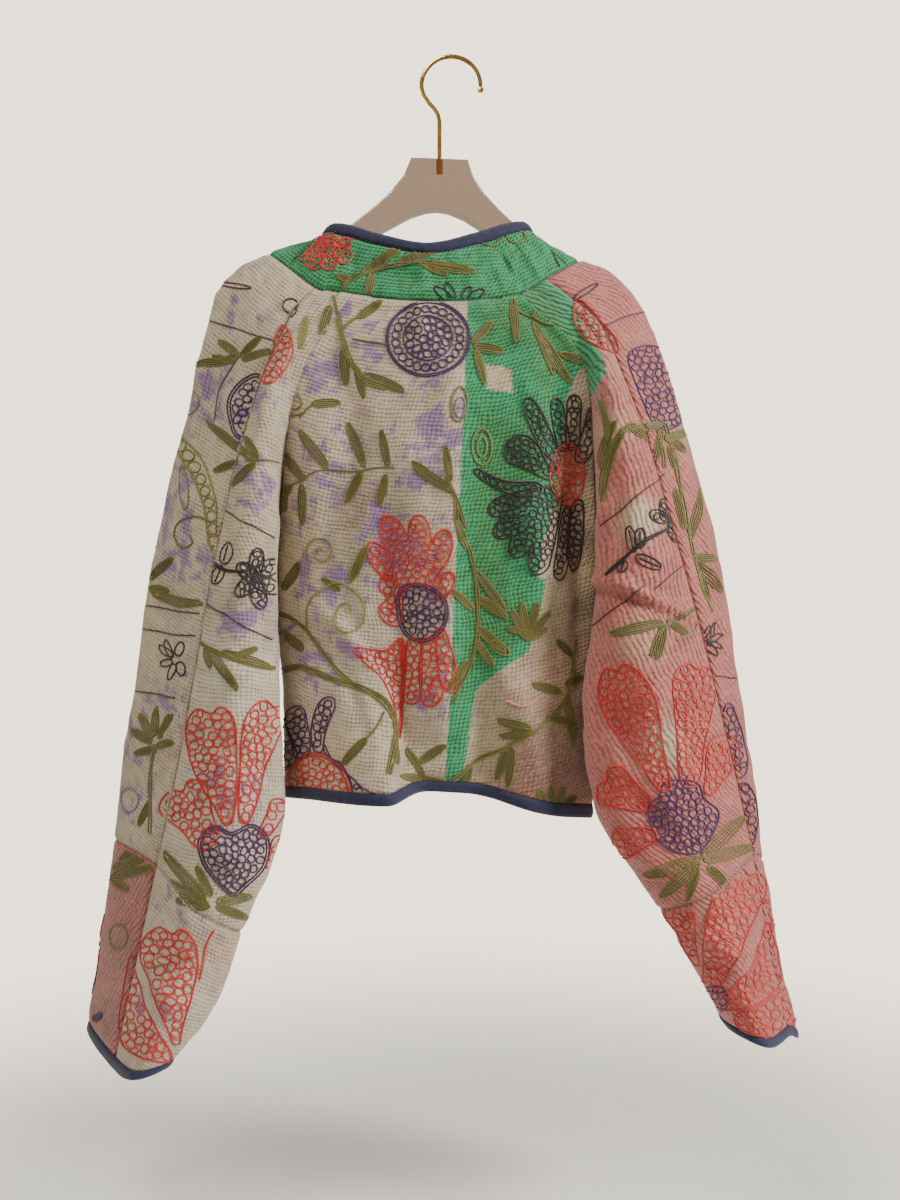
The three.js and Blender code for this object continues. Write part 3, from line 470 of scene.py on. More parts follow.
# on the sides turned away: piece, places as shares of its width and length, depth, width
HIDDEN_CREASES = [
    ("LO", [(0.62, 0.05), (0.66, 0.4), (0.58, 0.75)], 2.4, 12),
    ("LO", [(0.85, 0.55), (0.7, 0.7), (0.5, 0.8)], -2.6, 12),
    ("LO", [(0.8, 0.2), (0.78, 0.5), (0.9, 0.7)], -2.4, 11),
    ("RO", [(0.62, 0.05), (0.68, 0.4), (0.58, 0.8)], 2.4, 12),
    ("RO", [(0.85, 0.55), (0.7, 0.68), (0.45, 0.78)], -2.6, 12),
    ("FL", [(0.4, 0.1), (0.55, 0.5), (0.5, 0.9)], 2.6, 14),
    ("FL", [(0.8, 0.3), (0.85, 0.6), (0.75, 0.95)], -2.6, 12),
    ("FR", [(0.4, 0.15), (0.5, 0.5), (0.6, 0.9)], -2.6, 13),
    ("FR", [(0.75, 0.2), (0.85, 0.6), (0.8, 0.95)], 2.4, 12),
    ("LP", [(0.5, 0.1), (0.7, 0.5), (0.6, 0.9)], 2.0, 10),
    ("RP", [(0.5, 0.1), (0.7, 0.5), (0.6, 0.9)], 2.0, 10),
]


def at_places(field, places):
    """A grid field read at fractional places, carried on past the edges."""
    m, k = field.shape[:2]
    i = np.clip(np.floor(places[:, 0]).astype(int), 0, m - 2)
    j = np.clip(np.floor(places[:, 1]).astype(int), 0, k - 2)
    u, w = (places[:, 0] - i)[:, None], (places[:, 1] - j)[:, None]
    f = field if field.ndim == 3 else field[..., None]
    near = f[i, j] * (1 - u) * (1 - w) + f[i + 1, j] * u * (1 - w)
    return near + f[i, j + 1] * (1 - u) * w + f[i + 1, j + 1] * u * w


CREASE_STEPS = 28


def crease_field(name):
    """How far the creases lift each point of a piece, in mm."""
    g = grids[name]
    out = np.zeros(g.shape[:2])
    lines = [(to_grid(name, pts), d, w) for s, pts, d, w in CREASES if SHORT[s] == name]
    size = np.array(g.shape[:2]) - 1
    lines += [(np.array(pts) * size, d, w) for s, pts, d, w in HIDDEN_CREASES if SHORT[s] == name]
    for places, depth, width in lines:
        t = np.linspace(0, len(places) - 1, CREASE_STEPS)
        path = at_places(g, np.clip(along(places, t), 0, size))
        fade = np.sin(np.linspace(0.12, math.pi - 0.12, CREASE_STEPS)) ** 0.6
        d2 = np.sum((g[:, :, None] - path) ** 2, -1)
        best = np.argmin(d2, -1)
        wide = width * (1 + 0.25 * np.sin(best / 4.0))
        out += depth * fade[best] * np.exp(-np.min(d2, -1) / wide**2)
    return out


def edge_distance(grid):
    """How far each point lies from the piece's nearest edge, in mm."""
    di = np.linalg.norm(np.diff(grid, axis=0), axis=-1)
    dj = np.linalg.norm(np.diff(grid, axis=1), axis=-1)
    fi = np.concatenate([np.zeros((1, grid.shape[1])), np.cumsum(di, 0)])
    fj = np.concatenate([np.zeros((grid.shape[0], 1)), np.cumsum(dj, 1)], 1)
    return np.minimum(np.minimum(fi, fi[-1] - fi), np.minimum(fj, fj[:, -1:] - fj)), fi, fj


BINDINGS = {"neck_binding", "hem_binding", "cuff_binding_left", "cuff_binding_right"}
TAPE_RISE = 1.7  # how far a binding stands over the cloth, and laps over its edge
SEAM_SINK, SEAM_WIDE = 1.2, 2.2
ROLL, FULL_RELIEF = 0.9, 12  # how far cloth rises beside its seams, and where its relief is at full depth


def tape_lift(shape, order):
    """A folded tape's rounded back, over the cloth that it binds."""
    t = np.linspace(0, 1, shape[1])
    lift = TAPE_RISE * np.sqrt(np.clip(1 - (2 * t - 1) ** 2 * 0.85, 0, 1))[None, :] - 0.3
    return lift + 0.25 * value_noise(shape, 3, 50 + order)


def seam_hold(name, shape):
    """How far each place sinks to its seam: not at the armhole, where the cloth runs on into the fold."""
    sunk = np.ones(shape)
    if name.startswith("sleeve") and name.endswith("_back") and "lower" not in name:
        sunk[: shape[0] // 3] = smooth(0.28, 0.5, np.linspace(0, 1, shape[1]))
    if name == "back":
        sides = smooth(0.3, 0.65, np.linspace(0, 1, shape[1]))
        sunk[:10], sunk[-10:] = sides, sides
    return sunk


def cloth_lift(name, shape, edge, order):
    """Creases and puckers, with the cloth rolled up beside its seams and sunk in them."""
    lift = crease_field(name)
    puckers = 0.6 * value_noise(shape, 2.6, 20 + order) + 1.3 * value_noise(shape, 7, 40 + order)
    lift = (lift + puckers) * smooth(0, FULL_RELIEF, edge) + ROLL * smooth(0.5, 5, edge) - 0.4
    sunk = seam_hold(name, shape)
    lift -= SEAM_SINK * sunk * np.exp(-((edge / SEAM_WIDE) ** 2))
    lift += (1 - sunk) * ROLL * smooth(5, 0.5, edge)
    return lift


def shell_of(name, grid, order):
    """A piece's outer face, the way it faces and its places on the flat cloth."""
    n = normals[name]
    edge, fi, fj = edge_distance(grid)
    shape = grid.shape[:2]
    if name in BINDINGS:
        grid = grid.copy()
        grid[:, 0] += unit(grid[:, 0] - grid[:, 1]) * TAPE_RISE
        lift = tape_lift(shape, order)
    else:
        lift = cloth_lift(name, shape, edge, order)
    places = grid + n * lift[..., None]
    out = normals_of(places, name in CLOSED)
    if np.sum(out * n) < 0:
        out *= -1
    return {"grid": places, "normal": out, "flat": np.stack([fi, fj], -1)}


shell = {name: shell_of(name, grid, order) for order, (name, grid) in enumerate(grids.items())}

# ---------------------------------------------------------------- colours and patches
OFF_WHITE, CREAM, PINK, PALE_PINK = "C4B59D", "CFBE9A", "BC5F58", "C78577"
# the fourth of these colours is the green in the quilting's furrows: painted shade, and partly dirt
LAVENDER, EMERALD, GREEN, GREEN_GROOVE_SHADE_AND_DIRT, BLOSSOM = "8C6CA0", "2CA06B", "38834A", "1D4F30", "B8746B"
OLIVE, MOSS = "6B672A", "7F7B40"
RED, CORAL, PURPLE = "BC1F1C", "C8332B", "451852"
BLACK, MAROON, GREY = "22101B", "3F1526", "7D7782"
RUST, WORN_NAVY, NAVY, BRASS, SMOKE = "94432F", "3A3D66", "191B38", "C9A15A", "7A4A1C"
RUBBED, STAIN, PALE_GREEN = "E6DAC8", "A08C7C", "74AE78"
# the first of these colours darkens the quilting's furrows: painted shade, and partly dirt
FURROW_SHADE_AND_DIRT, FADED_THREAD, AGED_CREAM = "6A5850", "B9A79C", "B5A587"
NO_PATCH = -9.0


def rgb(code):
    c = np.array([int(code[k : k + 2], 16) for k in (0, 2, 4)]) / 255
    return np.where(c <= 0.04045, c / 12.92, ((c + 0.055) / 1.055) ** 2.4)


GROUND = {name: OFF_WHITE for name in grids}
GROUND.update(dict.fromkeys([
    "sleeve_right_back", "sleeve_right_front", "sleeve_right_lower_back", "sleeve_right_lower_front",
    "sleeve_left_lower_front",
], PINK))
GROUND.update(dict.fromkeys(["neck_band_left", "neck_band_back", "neck_band_right"], GREEN))
GROUND.update(dict.fromkeys(BINDINGS, NAVY))
GROUND["front_right"] = PALE_PINK
# piece, x, y, radius and strength of a soft patch of another colour; some patches are painted shade and some
# painted light, as marked below
BLOBS = [
    ("B", 342, 308, 9, 0.6, "8E5A80"), ("B", 362, 410, 9, 0.35, "A9797E"),
    ("B", 366, 450, 8, 0.35, "A9797E"), ("B", 450, 440, 9, 0.4, "A8748F"),
    # painted shade: the patches at 366, 520; 545, 770 and 500, 705 on the back, and at 604, 640 on the right
    # sleeve's inner edge, darken places that lie in shade
    ("B", 366, 520, 34, 0.4, "8A7763"), ("B", 545, 770, 40, 0.4, "A8776A"),
    ("B", 500, 705, 30, 0.4, "A79C84"), ("RI", 604, 640, 30, 0.35, "A85C54"),
    ("B", 540, 800, 46, 0.95, BLOSSOM), ("B", 590, 560, 40, 0.55, CREAM), ("B", 495, 380, 26, 0.8, CREAM),
    ("B", 548, 520, 14, 0.9, CREAM), ("B", 560, 690, 50, 0.5, PALE_PINK), ("B", 480, 760, 30, 0.5, CREAM),
    ("B", 590, 700, 26, 0.5, CREAM), ("B", 300, 560, 60, 0.35, CREAM), ("B", 350, 770, 40, 0.35, CREAM),
    ("RI", 640, 350, 27, 0.95, OFF_WHITE), ("RI", 640, 520, 22, 0.95, CREAM),
    ("RO", 672, 742, 20, 0.8, OFF_WHITE), ("RI", 662, 745, 24, 0.85, OFF_WHITE),
    ("RI", 612, 430, 22, 0.4, CREAM), ("RI", 640, 640, 24, 0.35, CREAM),
    ("RL", 700, 930, 40, 0.4, PALE_PINK), ("RO", 690, 430, 24, 0.3, CREAM),
    ("RI", 600, 320, 20, 0.35, CREAM), ("LI", 250, 520, 44, 0.4, CREAM), ("LO", 200, 470, 40, 0.3, CREAM),
    ("LL", 205, 955, 34, 0.35, PALE_PINK), ("NB", 520, 262, 22, 0.35, CREAM),
    # painted shade: the dark patches at 590, 470; 588, 540; 586, 610 and 590, 420 on the back, where the
    # right sleeve shades it, and at 602, 400 on that sleeve by the armhole
    ("B", 590, 470, 17, 0.6, "59403A"), ("B", 588, 540, 16, 0.55, "59403A"),
    ("B", 586, 610, 14, 0.45, "66503F"), ("B", 590, 420, 14, 0.5, "5E4A3A"),
    # painted shade: the three dark patches down sleeve_left_lower_front, under the off-white panel that laps
    # over it at the seam
    ("RI", 602, 400, 14, 0.4, "8A5A48"), ("LP", 140, 880, 34, 0.6, "8C4A44"),
    ("LP", 128, 950, 34, 0.7, "86443F"), ("LP", 118, 1020, 30, 0.7, "7E3F3B"),
    # painted shade: the dark patches on the back at 520, 760; 566, 745; 533, 774; 548, 690 and 366, 532, over
    # its lower right and middle
    ("B", 520, 760, 60, 0.35, "8F6A5A"), ("RL", 715, 1060, 30, 0.3, "9A5048"),
    # painted light: the light patches at 232, 300 on the top of the left sleeve, and at 235, 690; 225, 820
    # and 160, 980 on its inner side, where light falls
    ("LO", 232, 300, 45, 0.5, "D8CAB6"), ("B", 566, 745, 50, 0.5, "80594A"),
    ("B", 533, 774, 34, 0.5, "7C5648"), ("B", 548, 690, 40, 0.25, "8A7566"),
    ("B", 366, 532, 56, 0.5, "8A7A66"), ("LI", 235, 690, 60, 0.55, "D8D0C2"),
    ("LI", 225, 820, 60, 0.6, "DAD3C6"), ("LL", 160, 980, 60, 0.5, "D6CFC2"),
]
# where lavender blotches gather
LILAC = [
    ("B", 440, 430, 30, 0.8), ("B", 425, 470, 26, 0.7), ("B", 322, 372, 26, 0.7), ("B", 366, 350, 20, 0.7),
    ("B", 380, 520, 22, 0.8), ("B", 300, 520, 20, 0.6), ("B", 430, 375, 26, 0.6), ("B", 342, 306, 12, 1.0),
    ("B", 330, 470, 50, 0.55), ("B", 400, 560, 55, 0.6), ("B", 320, 580, 40, 0.6), ("B", 420, 440, 30, 0.5),
    ("B", 330, 660, 34, 0.6), ("B", 430, 700, 30, 0.5), ("B", 360, 330, 30, 0.4), ("LI", 250, 480, 34, 0.6),
    ("LI", 240, 620, 40, 0.6), ("LI", 230, 790, 40, 0.45), ("LI", 262, 400, 26, 0.6),
    ("LO", 205, 400, 34, 0.6), ("LO", 185, 560, 34, 0.6), ("LO", 165, 700, 30, 0.5),
    ("LO", 240, 310, 26, 0.4), ("LL", 190, 900, 34, 0.45), ("LL", 150, 1000, 30, 0.35),
    ("LO", 140, 800, 30, 0.4),
]
GREEN_PATCHES = [
    ("B", [
        (468, 290), (606, 294), (604, 350), (578, 372), (566, 400), (562, 470), (550, 540), (541, 600),
        (528, 652), (500, 670), (476, 690), (470, 730), (460, 796), (444, 796), (450, 690), (453, 600),
        (459, 500), (464, 400),
    ]),
    ("RI", [
        (500, 300), (530, 270), (551, 274), (573, 296), (577, 314), (586, 336), (602, 354), (606, 374),
        (590, 400), (560, 360),
    ]),
]
GREEN_HOLES = [
    ("B", [(482, 363), (511, 369), (513, 393), (487, 389)]),
    ("B", [(556, 502), (563, 508), (553, 545), (547, 580), (536, 578), (541, 540)]),
]
CREAM_PATCH = [
    (604, 350), (578, 372), (566, 400), (562, 470), (550, 540), (541, 600), (528, 652), (500, 670),
    (476, 690), (470, 730), (458, 800), (560, 835), (620, 790), (640, 560), (640, 360),
]


def inside(points, polygon):
    poly = np.asarray(polygon, float)
    x, y = points[..., 0], points[..., 1]
    hit = np.zeros(x.shape, bool)
    for (x0, y0), (x1, y1) in zip(poly, np.roll(poly, -1, 0)):
        if y0 != y1:
            hit ^= ((y0 > y) != (y1 > y)) & (x < (x1 - x0) * (y - y0) / (y1 - y0) + x0)
    return hit


def signed_distance(points, polygon):
    poly = np.asarray(polygon, float)
    best = np.full(points.shape[:-1], 1e9)
    for a, b in zip(poly, np.roll(poly, -1, 0)):
        t = np.clip(((points - a) @ (b - a)) / max((b - a) @ (b - a), 1e-9), 0, 1)
        best = np.minimum(best, np.linalg.norm(points - a - t[..., None] * (b - a), axis=-1))
    return np.where(inside(points, polygon), best, -best)


def paint(name):
    """The piece's soft colours, painted shade and painted light among them, where its blotches lie and how
    deep in a green patch each grid point is.
    """
    px = seen[name][0]
    shape = px.shape[:2]

    def from_spot(x, y, r):
        return ((px[..., 0] - x) ** 2 + (px[..., 1] - y) ** 2) / r**2

    tone = np.tile(rgb(GROUND[name]), (*shape, 1))
    lilac = np.zeros(shape)
    green = np.full(shape, NO_PATCH)
    if name == "back":
        cream = smooth(-2, 2, signed_distance(px, CREAM_PATCH))[..., None]
        tone = tone * (1 - cream) + rgb(AGED_CREAM) * cream
    for s, polygon in GREEN_PATCHES:
        if SHORT[s] == name:
            green = signed_distance(px, polygon)
    for s, polygon in GREEN_HOLES:
        if SHORT[s] == name:
            green = np.minimum(green, -0.6 * signed_distance(px, polygon))
    for s, x, y, r, k, colour in BLOBS:
        if SHORT[s] == name:
            w = k * np.exp(-(from_spot(x, y, r) ** 1.6))[..., None]
            tone = tone * (1 - w) + rgb(colour) * w
    for s, x, y, r, k in LILAC:
        if SHORT[s] == name:
            lilac = np.maximum(lilac, k * np.exp(-from_spot(x, y, r)))
    hidden = not seen[name][1].any()
    if name in ("front_left", "sleeve_left_front", "front_right") or hidden:
        extra = 0.45 * smooth(-0.1, 0.6, value_noise(shape, 14, len(name)))
        lilac = np.maximum(lilac, extra if GROUND[name] == OFF_WHITE else 0.3 * extra)
        warm = (0.45 * smooth(0, 0.7, value_noise(shape, 17, len(name) + 3)))[..., None]
        if GROUND[name] != NAVY and GROUND[name] != GREEN:
            tone = tone * (1 - warm) + rgb(CREAM) * warm
    return tone, lilac, green


# ---------------------------------------------------------------- materials
class Value:
    """A socket in a material's node tree, with arithmetic that adds Math nodes."""

    def __init__(self, finish, socket):
        self.finish, self.socket = finish, socket

    def __add__(self, other):
        return self.finish.math("ADD", self, other)

    def __sub__(self, other):
        return self.finish.math("SUBTRACT", self, other)

    def __rsub__(self, other):
        return self.finish.math("SUBTRACT", other, self)

    def __mul__(self, other):
        return self.finish.math("MULTIPLY", self, other)

    def __truediv__(self, other):
        return self.finish.math("DIVIDE", self, other)

    def __pow__(self, other):
        return self.finish.math("POWER", self, other)

    __radd__, __rmul__ = __add__, __mul__


class Finish:
    """One material, built from expressions on its own sockets."""

    def __init__(self, name, **constants):
        self.material = bpy.data.materials.new(name)
        self.material.use_nodes = True
        self.tree = self.material.node_tree
        self.shader = self.tree.nodes["Principled BSDF"]
        for socket, value in constants.items():
            self.shader.inputs[socket.replace("_", " ")].default_value = value

    def node(self, kind, settings=(), inputs=(), out=0):
        made = self.tree.nodes.new(kind)
        for key, value in dict(settings).items():
            setattr(made, key, value)
        for key, value in dict(inputs).items():
            if isinstance(value, Value):
                self.tree.links.new(value.socket, made.inputs[key])
            else:
                made.inputs[key].default_value = value
        return Value(self, made.outputs[out])

    def math(self, operation, a, b=0.0):
        return self.node("ShaderNodeMath", {"operation": operation}, {0: a, 1: b})

    def between(self, value, low, high):
        values = {0: value, 1: low, 2: high}
        return self.node("ShaderNodeMapRange", {"interpolation_type": "SMOOTHSTEP"}, values)

    def attribute(self, name, out="Fac"):
        return self.node("ShaderNodeAttribute", {"attribute_name": name}, out=out)

    def colours(self, share, a, b, how="MIX"):
        a, b = ((*rgb(c), 1) if isinstance(c, str) else c for c in (a, b))
        settings = {"data_type": "RGBA", "blend_type": how}
        return self.node("ShaderNodeMix", settings, {0: share, 6: a, 7: b}, out=2)

    def noise(self, place, scale, detail=2.0, roughness=0.5):
        values = {"Vector": place, "Scale": scale, "Detail": detail, "Roughness": roughness}
        return self.node("ShaderNodeTexNoise", {}, values)

    def feed(self, socket, value):
        self.tree.links.new(value.socket, self.shader.inputs[socket])

    def bump(self, height, distance):
        values = {"Height": height, "Distance": distance, "Strength": 1.0}
        self.feed("Normal", self.node("ShaderNodeBump", {}, values))

    def paint(self, colour):
        self.shader.inputs["Base Color"].default_value = (*colour, 1)


def quilted(name, patched=False, contrast=0.38, pitch=(3.7, 3.5), slant=0.0, wave=1.0, level=1.0,
            roughness=0.78, sheen=0.15):
    """Cotton quilted by hand: small puffed squares, furrows between them darkened in colour, partly as
    painted shade and partly as dirt, and a fine weave.

    pitch is the puffs' size in mm; wave and level weigh the furrows down and across the cloth.
    """
    finish = Finish(name, Roughness=roughness, Sheen_Weight=sheen, Sheen_Roughness=0.5,
                    Specular_IOR_Level=0.3)
    place = finish.attribute("flat", "Vector")
    u, v = (finish.node("ShaderNodeSeparateXYZ", {}, {0: place}, out=k) for k in (0, 1))
    wander = finish.noise(place, 0.03, 2.0) * 2.6 + finish.noise(place, 0.11, 2.0) * 0.7
    across = (u + v * slant) / pitch[0] + wander
    down = v / pitch[1] + wander * 0.8
    turn = 2 * math.pi
    rows = finish.math("COSINE", down * turn) * 0.5 + 0.5
    columns = finish.math("COSINE", across * turn) * 0.5 + 0.5
    uneven = finish.noise(place, 0.09, 3.0)
    strength = finish.between(uneven, 0.25, 0.7) * 0.6 + 0.4
    furrow = (1 - rows) ** 1.5 * (0.62 * level) + (1 - columns) ** 1.5 * (0.5 * wave)
    weave = finish.math("SINE", u * 9.0) * finish.math("SINE", v * 9.0)
    crumple = finish.noise(place, 0.10, 4.0, 0.6)
    finish.bump(1.6 * crumple - furrow * strength * 0.85 + weave * 0.05, 0.0013)

    tone = finish.attribute("tone", "Color")
    worn = finish.noise(place, 0.3, 4.0, 0.65)
    tone = finish.colours(finish.between(worn, 0.35, 0.75) * 0.25, tone, RUBBED)
    stain = finish.noise(place, 0.018, 3.0, 0.6)
    tone = finish.colours(finish.between(stain, 0.45, 0.75) * 0.35, tone, STAIN, "MULTIPLY")
    cell = finish.node("ShaderNodeVectorMath", {"operation": "SNAP"}, {0: place, 1: (2.2, 2.2, 2.2)})
    speckle = finish.noise(cell, 0.06, 3.0, 0.62)
    lilac = finish.attribute("lilac")
    tone = finish.colours(finish.between(speckle + lilac * 0.42, 0.64, 0.76) * 0.8, tone, LAVENDER)
    if patched:
        depth = finish.attribute("green")
        moss = finish.colours(finish.between(depth + uneven * 24.0 - 12.0, 0.0, 26.0), EMERALD, GREEN)
        moss = finish.colours(finish.between(worn, 0.3, 0.8) * 0.35, moss, PALE_GREEN)
        # painted shade, and partly dirt: the green darkens in the quilting's furrows
        moss = finish.colours(finish.between(furrow, 0.35, 1.0) * 0.55, moss, GREEN_GROOVE_SHADE_AND_DIRT)
        edge = depth + (finish.noise(place, 0.25, 3.0) - 0.5) * 5.0
        tone = finish.colours(finish.between(edge, -1.2, 1.2), tone, moss)
    # painted shade, and partly dirt: the cloth darkens in the quilting's furrows, as far as contrast says
    tone = finish.colours(finish.between(furrow * strength, 0.15, 0.85) * contrast, tone, FURROW_SHADE_AND_DIRT, "MULTIPLY")
    finish.feed("Base Color", tone)
    return finish.material


def navy_tape():
    finish = Finish("navy cotton tape", Roughness=0.7, Sheen_Weight=0.2, Specular_IOR_Level=0.3)
    place = finish.attribute("flat", "Vector")
    u, v = (finish.node("ShaderNodeSeparateXYZ", {}, {0: place}, out=k) for k in (0, 1))
    rib = finish.math("SINE", (u + v) * 4.2) * 0.5 + 0.5
    finish.feed("Base Color", finish.colours(finish.noise(place, 0.2, 4.0) * 0.6, NAVY, WORN_NAVY))
    finish.bump(rib * 0.4 + finish.noise(place, 0.25, 3.0), 0.0006)
    return finish.material


def embroidery_thread():
    """Stranded cotton in each stroke's own dye, faded here and there."""
    finish = Finish("cotton embroidery thread", Roughness=0.5, Sheen_Weight=0.25, Specular_IOR_Level=0.4)
    fading = finish.between(finish.noise(finish.attribute("flat", "Vector"), 0.2, 3.0), 0.3, 0.7) * 0.35
    dye = finish.attribute("dye", "Color")
    finish.feed("Base Color", finish.colours(fading, dye, FADED_THREAD, "SOFT_LIGHT"))
    return finish.material


def smoky_acrylic():
    finish = Finish("smoky clear acrylic", Roughness=0.12, IOR=1.49, Alpha=0.7, Coat_Weight=0.4,
                    Coat_Roughness=0.05)
    finish.paint(rgb(SMOKE))
    return finish.material


def polished_brass():
    finish = Finish("polished brass", Metallic=1.0)
    finish.paint(rgb(BRASS))
    scuff = finish.noise(finish.node("ShaderNodeTexCoord", {}, out=3), 160.0, 3.0)
    finish.feed("Roughness", finish.between(scuff, 0.2, 0.9) * 0.18 + 0.16)
    return finish.material


materials = {
    "cloth_offwhite": quilted("quilted off-white cotton"),
    "cloth_back": quilted("quilted patchwork cotton", patched=True),
    "cloth_green": quilted("quilted green cotton", patched=True, contrast=0.46),
    "cloth_pink": quilted("quilted salmon cotton", patched=True, contrast=0.4, pitch=(4.9, 4.2), slant=-0.5,
                          wave=1.9, level=0.35, roughness=0.5, sheen=0.35),
    "binding_navy": navy_tape(),
    "thread": embroidery_thread(),
    "acrylic_smoky": smoky_acrylic(),
    "brass": polished_brass(),
}

SLOTS = {name: "cloth_offwhite" for name in grids}
SLOTS.update({name: "cloth_pink" for name, ground in GROUND.items() if ground == PINK})
SLOTS.update({name: "cloth_green" for name, ground in GROUND.items() if ground == GREEN})
SLOTS.update({name: "binding_navy" for name in BINDINGS})
SLOTS.update(back="cloth_back", front_right="cloth_pink")

# ---------------------------------------------------------------- cloth pieces
WALL, TAPE_WALL = 2.0, 2.6
pieces, threads = {}, {}


def store(mesh, key, kind, field, values, domain="POINT"):
    """An attribute on a mesh, filled with values."""
    data = np.asarray(values, np.float32).ravel()
    mesh.attributes.new(key, kind, domain).data.foreach_set(field, data)


def cloth_piece(name):
    """A thin shell: the outer face with its quilting and folds, a plain lining face, and the rim between."""
    data = shell[name]
    outer, flat = data["grid"], data["flat"]
    inner = outer - data["normal"] * (TAPE_WALL if name in BINDINGS else WALL)
    m, k = outer.shape[:2]
    around = m - 1 if name in CLOSED else m
    faces, corners = [], []
    turned = np.cross(outer[1, 0] - outer[0, 0], outer[0, 1] - outer[0, 0])
    flip = np.dot(turned, data["normal"][0, 0]) < 0

    def face(*places):
        places = places[::-1] if flip else places
        faces.append([(i % around) * k + j + side * around * k for i, j, side in places])
        corners.extend(places)

    for i in range(m - 1):
        for j in range(k - 1):
            face((i, j, 0), (i + 1, j, 0), (i + 1, j + 1, 0), (i, j + 1, 0))
            face((i, j, 1), (i, j + 1, 1), (i + 1, j + 1, 1), (i + 1, j, 1))
        face((i, 0, 0), (i, 0, 1), (i + 1, 0, 1), (i + 1, 0, 0))
        face((i, k - 1, 0), (i + 1, k - 1, 0), (i + 1, k - 1, 1), (i, k - 1, 1))
    if name not in CLOSED:
        for j in range(k - 1):
            face((0, j, 0), (0, j + 1, 0), (0, j + 1, 1), (0, j, 1))
            face((m - 1, j, 0), (m - 1, j, 1), (m - 1, j + 1, 1), (m - 1, j + 1, 0))
    points = np.concatenate([outer[:around].reshape(-1, 3), inner[:around].reshape(-1, 3)]) * MM
    mesh = bpy.data.meshes.new(name + "_cloth")
    mesh.from_pydata(points.tolist(), [], faces)
    places = np.array(corners)
    at = flat[places[:, 0], places[:, 1]]
    store(mesh, "flat", "FLOAT_VECTOR", "vector", np.column_stack([at, np.zeros(len(at))]), "CORNER")
    mesh.uv_layers.new(name="flat_map").data.foreach_set("uv", (at / 1000).ravel().astype(np.float32))
    tone, lilac, green = paint(name)

    def both(field, lining):
        """A field's values for the outer face, then one value all over the lining."""
        face_values = field[:around].reshape(-1, *field.shape[2:])
        return np.concatenate([face_values, np.ones_like(face_values) * lining])

    shade = both(tone, rgb(NAVY if name in BINDINGS else OFF_WHITE))
    store(mesh, "tone", "FLOAT_COLOR", "color", np.column_stack([shade, np.ones(len(points))]))
    if GROUND[name] == GREEN:
        green = np.full(green.shape, -NO_PATCH)
    for key, field, lining in (("lilac", lilac, 0.0), ("green", green, NO_PATCH)):
        store(mesh, key, "FLOAT", "value", both(field, lining))
    mesh.shade_smooth()
    mesh.materials.append(materials[SLOTS[name]])
    made = bpy.data.objects.new(name + "_cloth", mesh)
    bpy.context.scene.collection.objects.link(made)
    return made


for name in grids:
    pieces[name] = cloth_piece(name)

# ---------------------------------------------------------------- chain-stitch embroidery
# Strokes are polylines on one piece each, on the view grid or, where the piece is turned away (~),
# in millimetres across and down the piece. Each is cut off at the piece's edges.
STROKE_STEP = 1.3
ROW_GAP = 2.7  # between two rows of chain stitch round a shape
strokes = {name: [] for name in grids}
jitter = np.random.default_rng(SEED)


def curve(points):
    """A smooth line through the points, in steps short enough for the thread to follow."""
    line = np.asarray(points, float)
    if len(line) > 2:
        line = along(line, np.linspace(0, len(line) - 1, 12 * len(line)))
    return evenly(line, max(1, int(run_along(line)[-1] / STROKE_STEP)))


def sew(codes, points, dye, girth=1.0):
    """Add a stroke to one piece, or to each of several where it runs over a seam."""
    for code in codes.split():
        strokes[SHORT[code.strip("~")]].append((np.asarray(points, float), dye, girth, code.startswith("~")))


def stem(piece, points, dye=OLIVE, rows=2, gap=2.1, girth=1.0):
    """One or more rows of chain stitch side by side along a curve."""
    path = curve(points)
    along_path = np.gradient(path, axis=0)
    side = unit(np.stack([-along_path[:, 1], along_path[:, 0]], 1))
    for row in range(rows):
        offset = (row - (rows - 1) / 2) * gap
        wobble = 0.35 * np.sin(np.arange(len(path)) / 5.0 + row * 2 + path[0, 0])
        sew(piece, path + side * (offset + wobble)[:, None], dye, girth)


def spine(base, tip, t, bend=0.0):
    """A leaf's or petal's middle line at shares t of its length, its axis and the direction across it."""
    base, tip = np.asarray(base, float), np.asarray(tip, float)
    axis = tip - base
    side = np.array([-axis[1], axis[0]]) / max(np.hypot(*axis), 1e-6)
    return base + t[:, None] * axis + side * (bend * np.sin(t * math.pi))[:, None], axis, side


def blade(base, tip, width, bend=0.0, sharp=1.0):
    """Outline of a pointed leaf, both sides from its base to its tip."""
    t = np.linspace(0, 1, 16)
    middle, _, side = spine(base, tip, t, bend)
    half = width / 2 * np.sin(math.pi * np.clip(t, 0, 0.97) ** 0.9) ** sharp
    return middle + side * half[:, None], middle - side * half[:, None], middle


def leaf(piece, base, tip, width=9, dye=OLIVE, rows=2, bend=0.0):
    """A leaf in chain stitch: an outline with rows inside it. In dark thread it is broader and more open."""
    if dye == BLACK and rows > 1:
        width, rows = width * 1.35, 1
        sew(piece, curve(blade(base, tip, 0, bend)[2][2:-2]), dye, 0.8)
    for k in range(rows):
        left, right, middle = blade(base, tip, width * 0.86 * (1 - k / rows), bend, 0.42)
        sew(piece, curve(np.concatenate([left, right[::-1][1:]])), dye, 0.8)
    if rows > 1:
        sew(piece, curve(middle[2:-2]), dye, 0.7)


def leaves(piece, rows):
    """Olive leaves: base, tip, width and, for some, how far each bends."""
    for base, tip, width, *bend in rows:
        leaf(piece, base, tip, width, OLIVE, 2, *bend)


def open_leaves(piece, width, pairs):
    """Black leaves of one row each: base and tip."""
    for base, tip in pairs:
        leaf(piece, base, tip, width, BLACK, 1)


def thin_line(piece, points):
    """A single thin row of maroon thread."""
    stem(piece, points, MAROON, 1, girth=0.7)


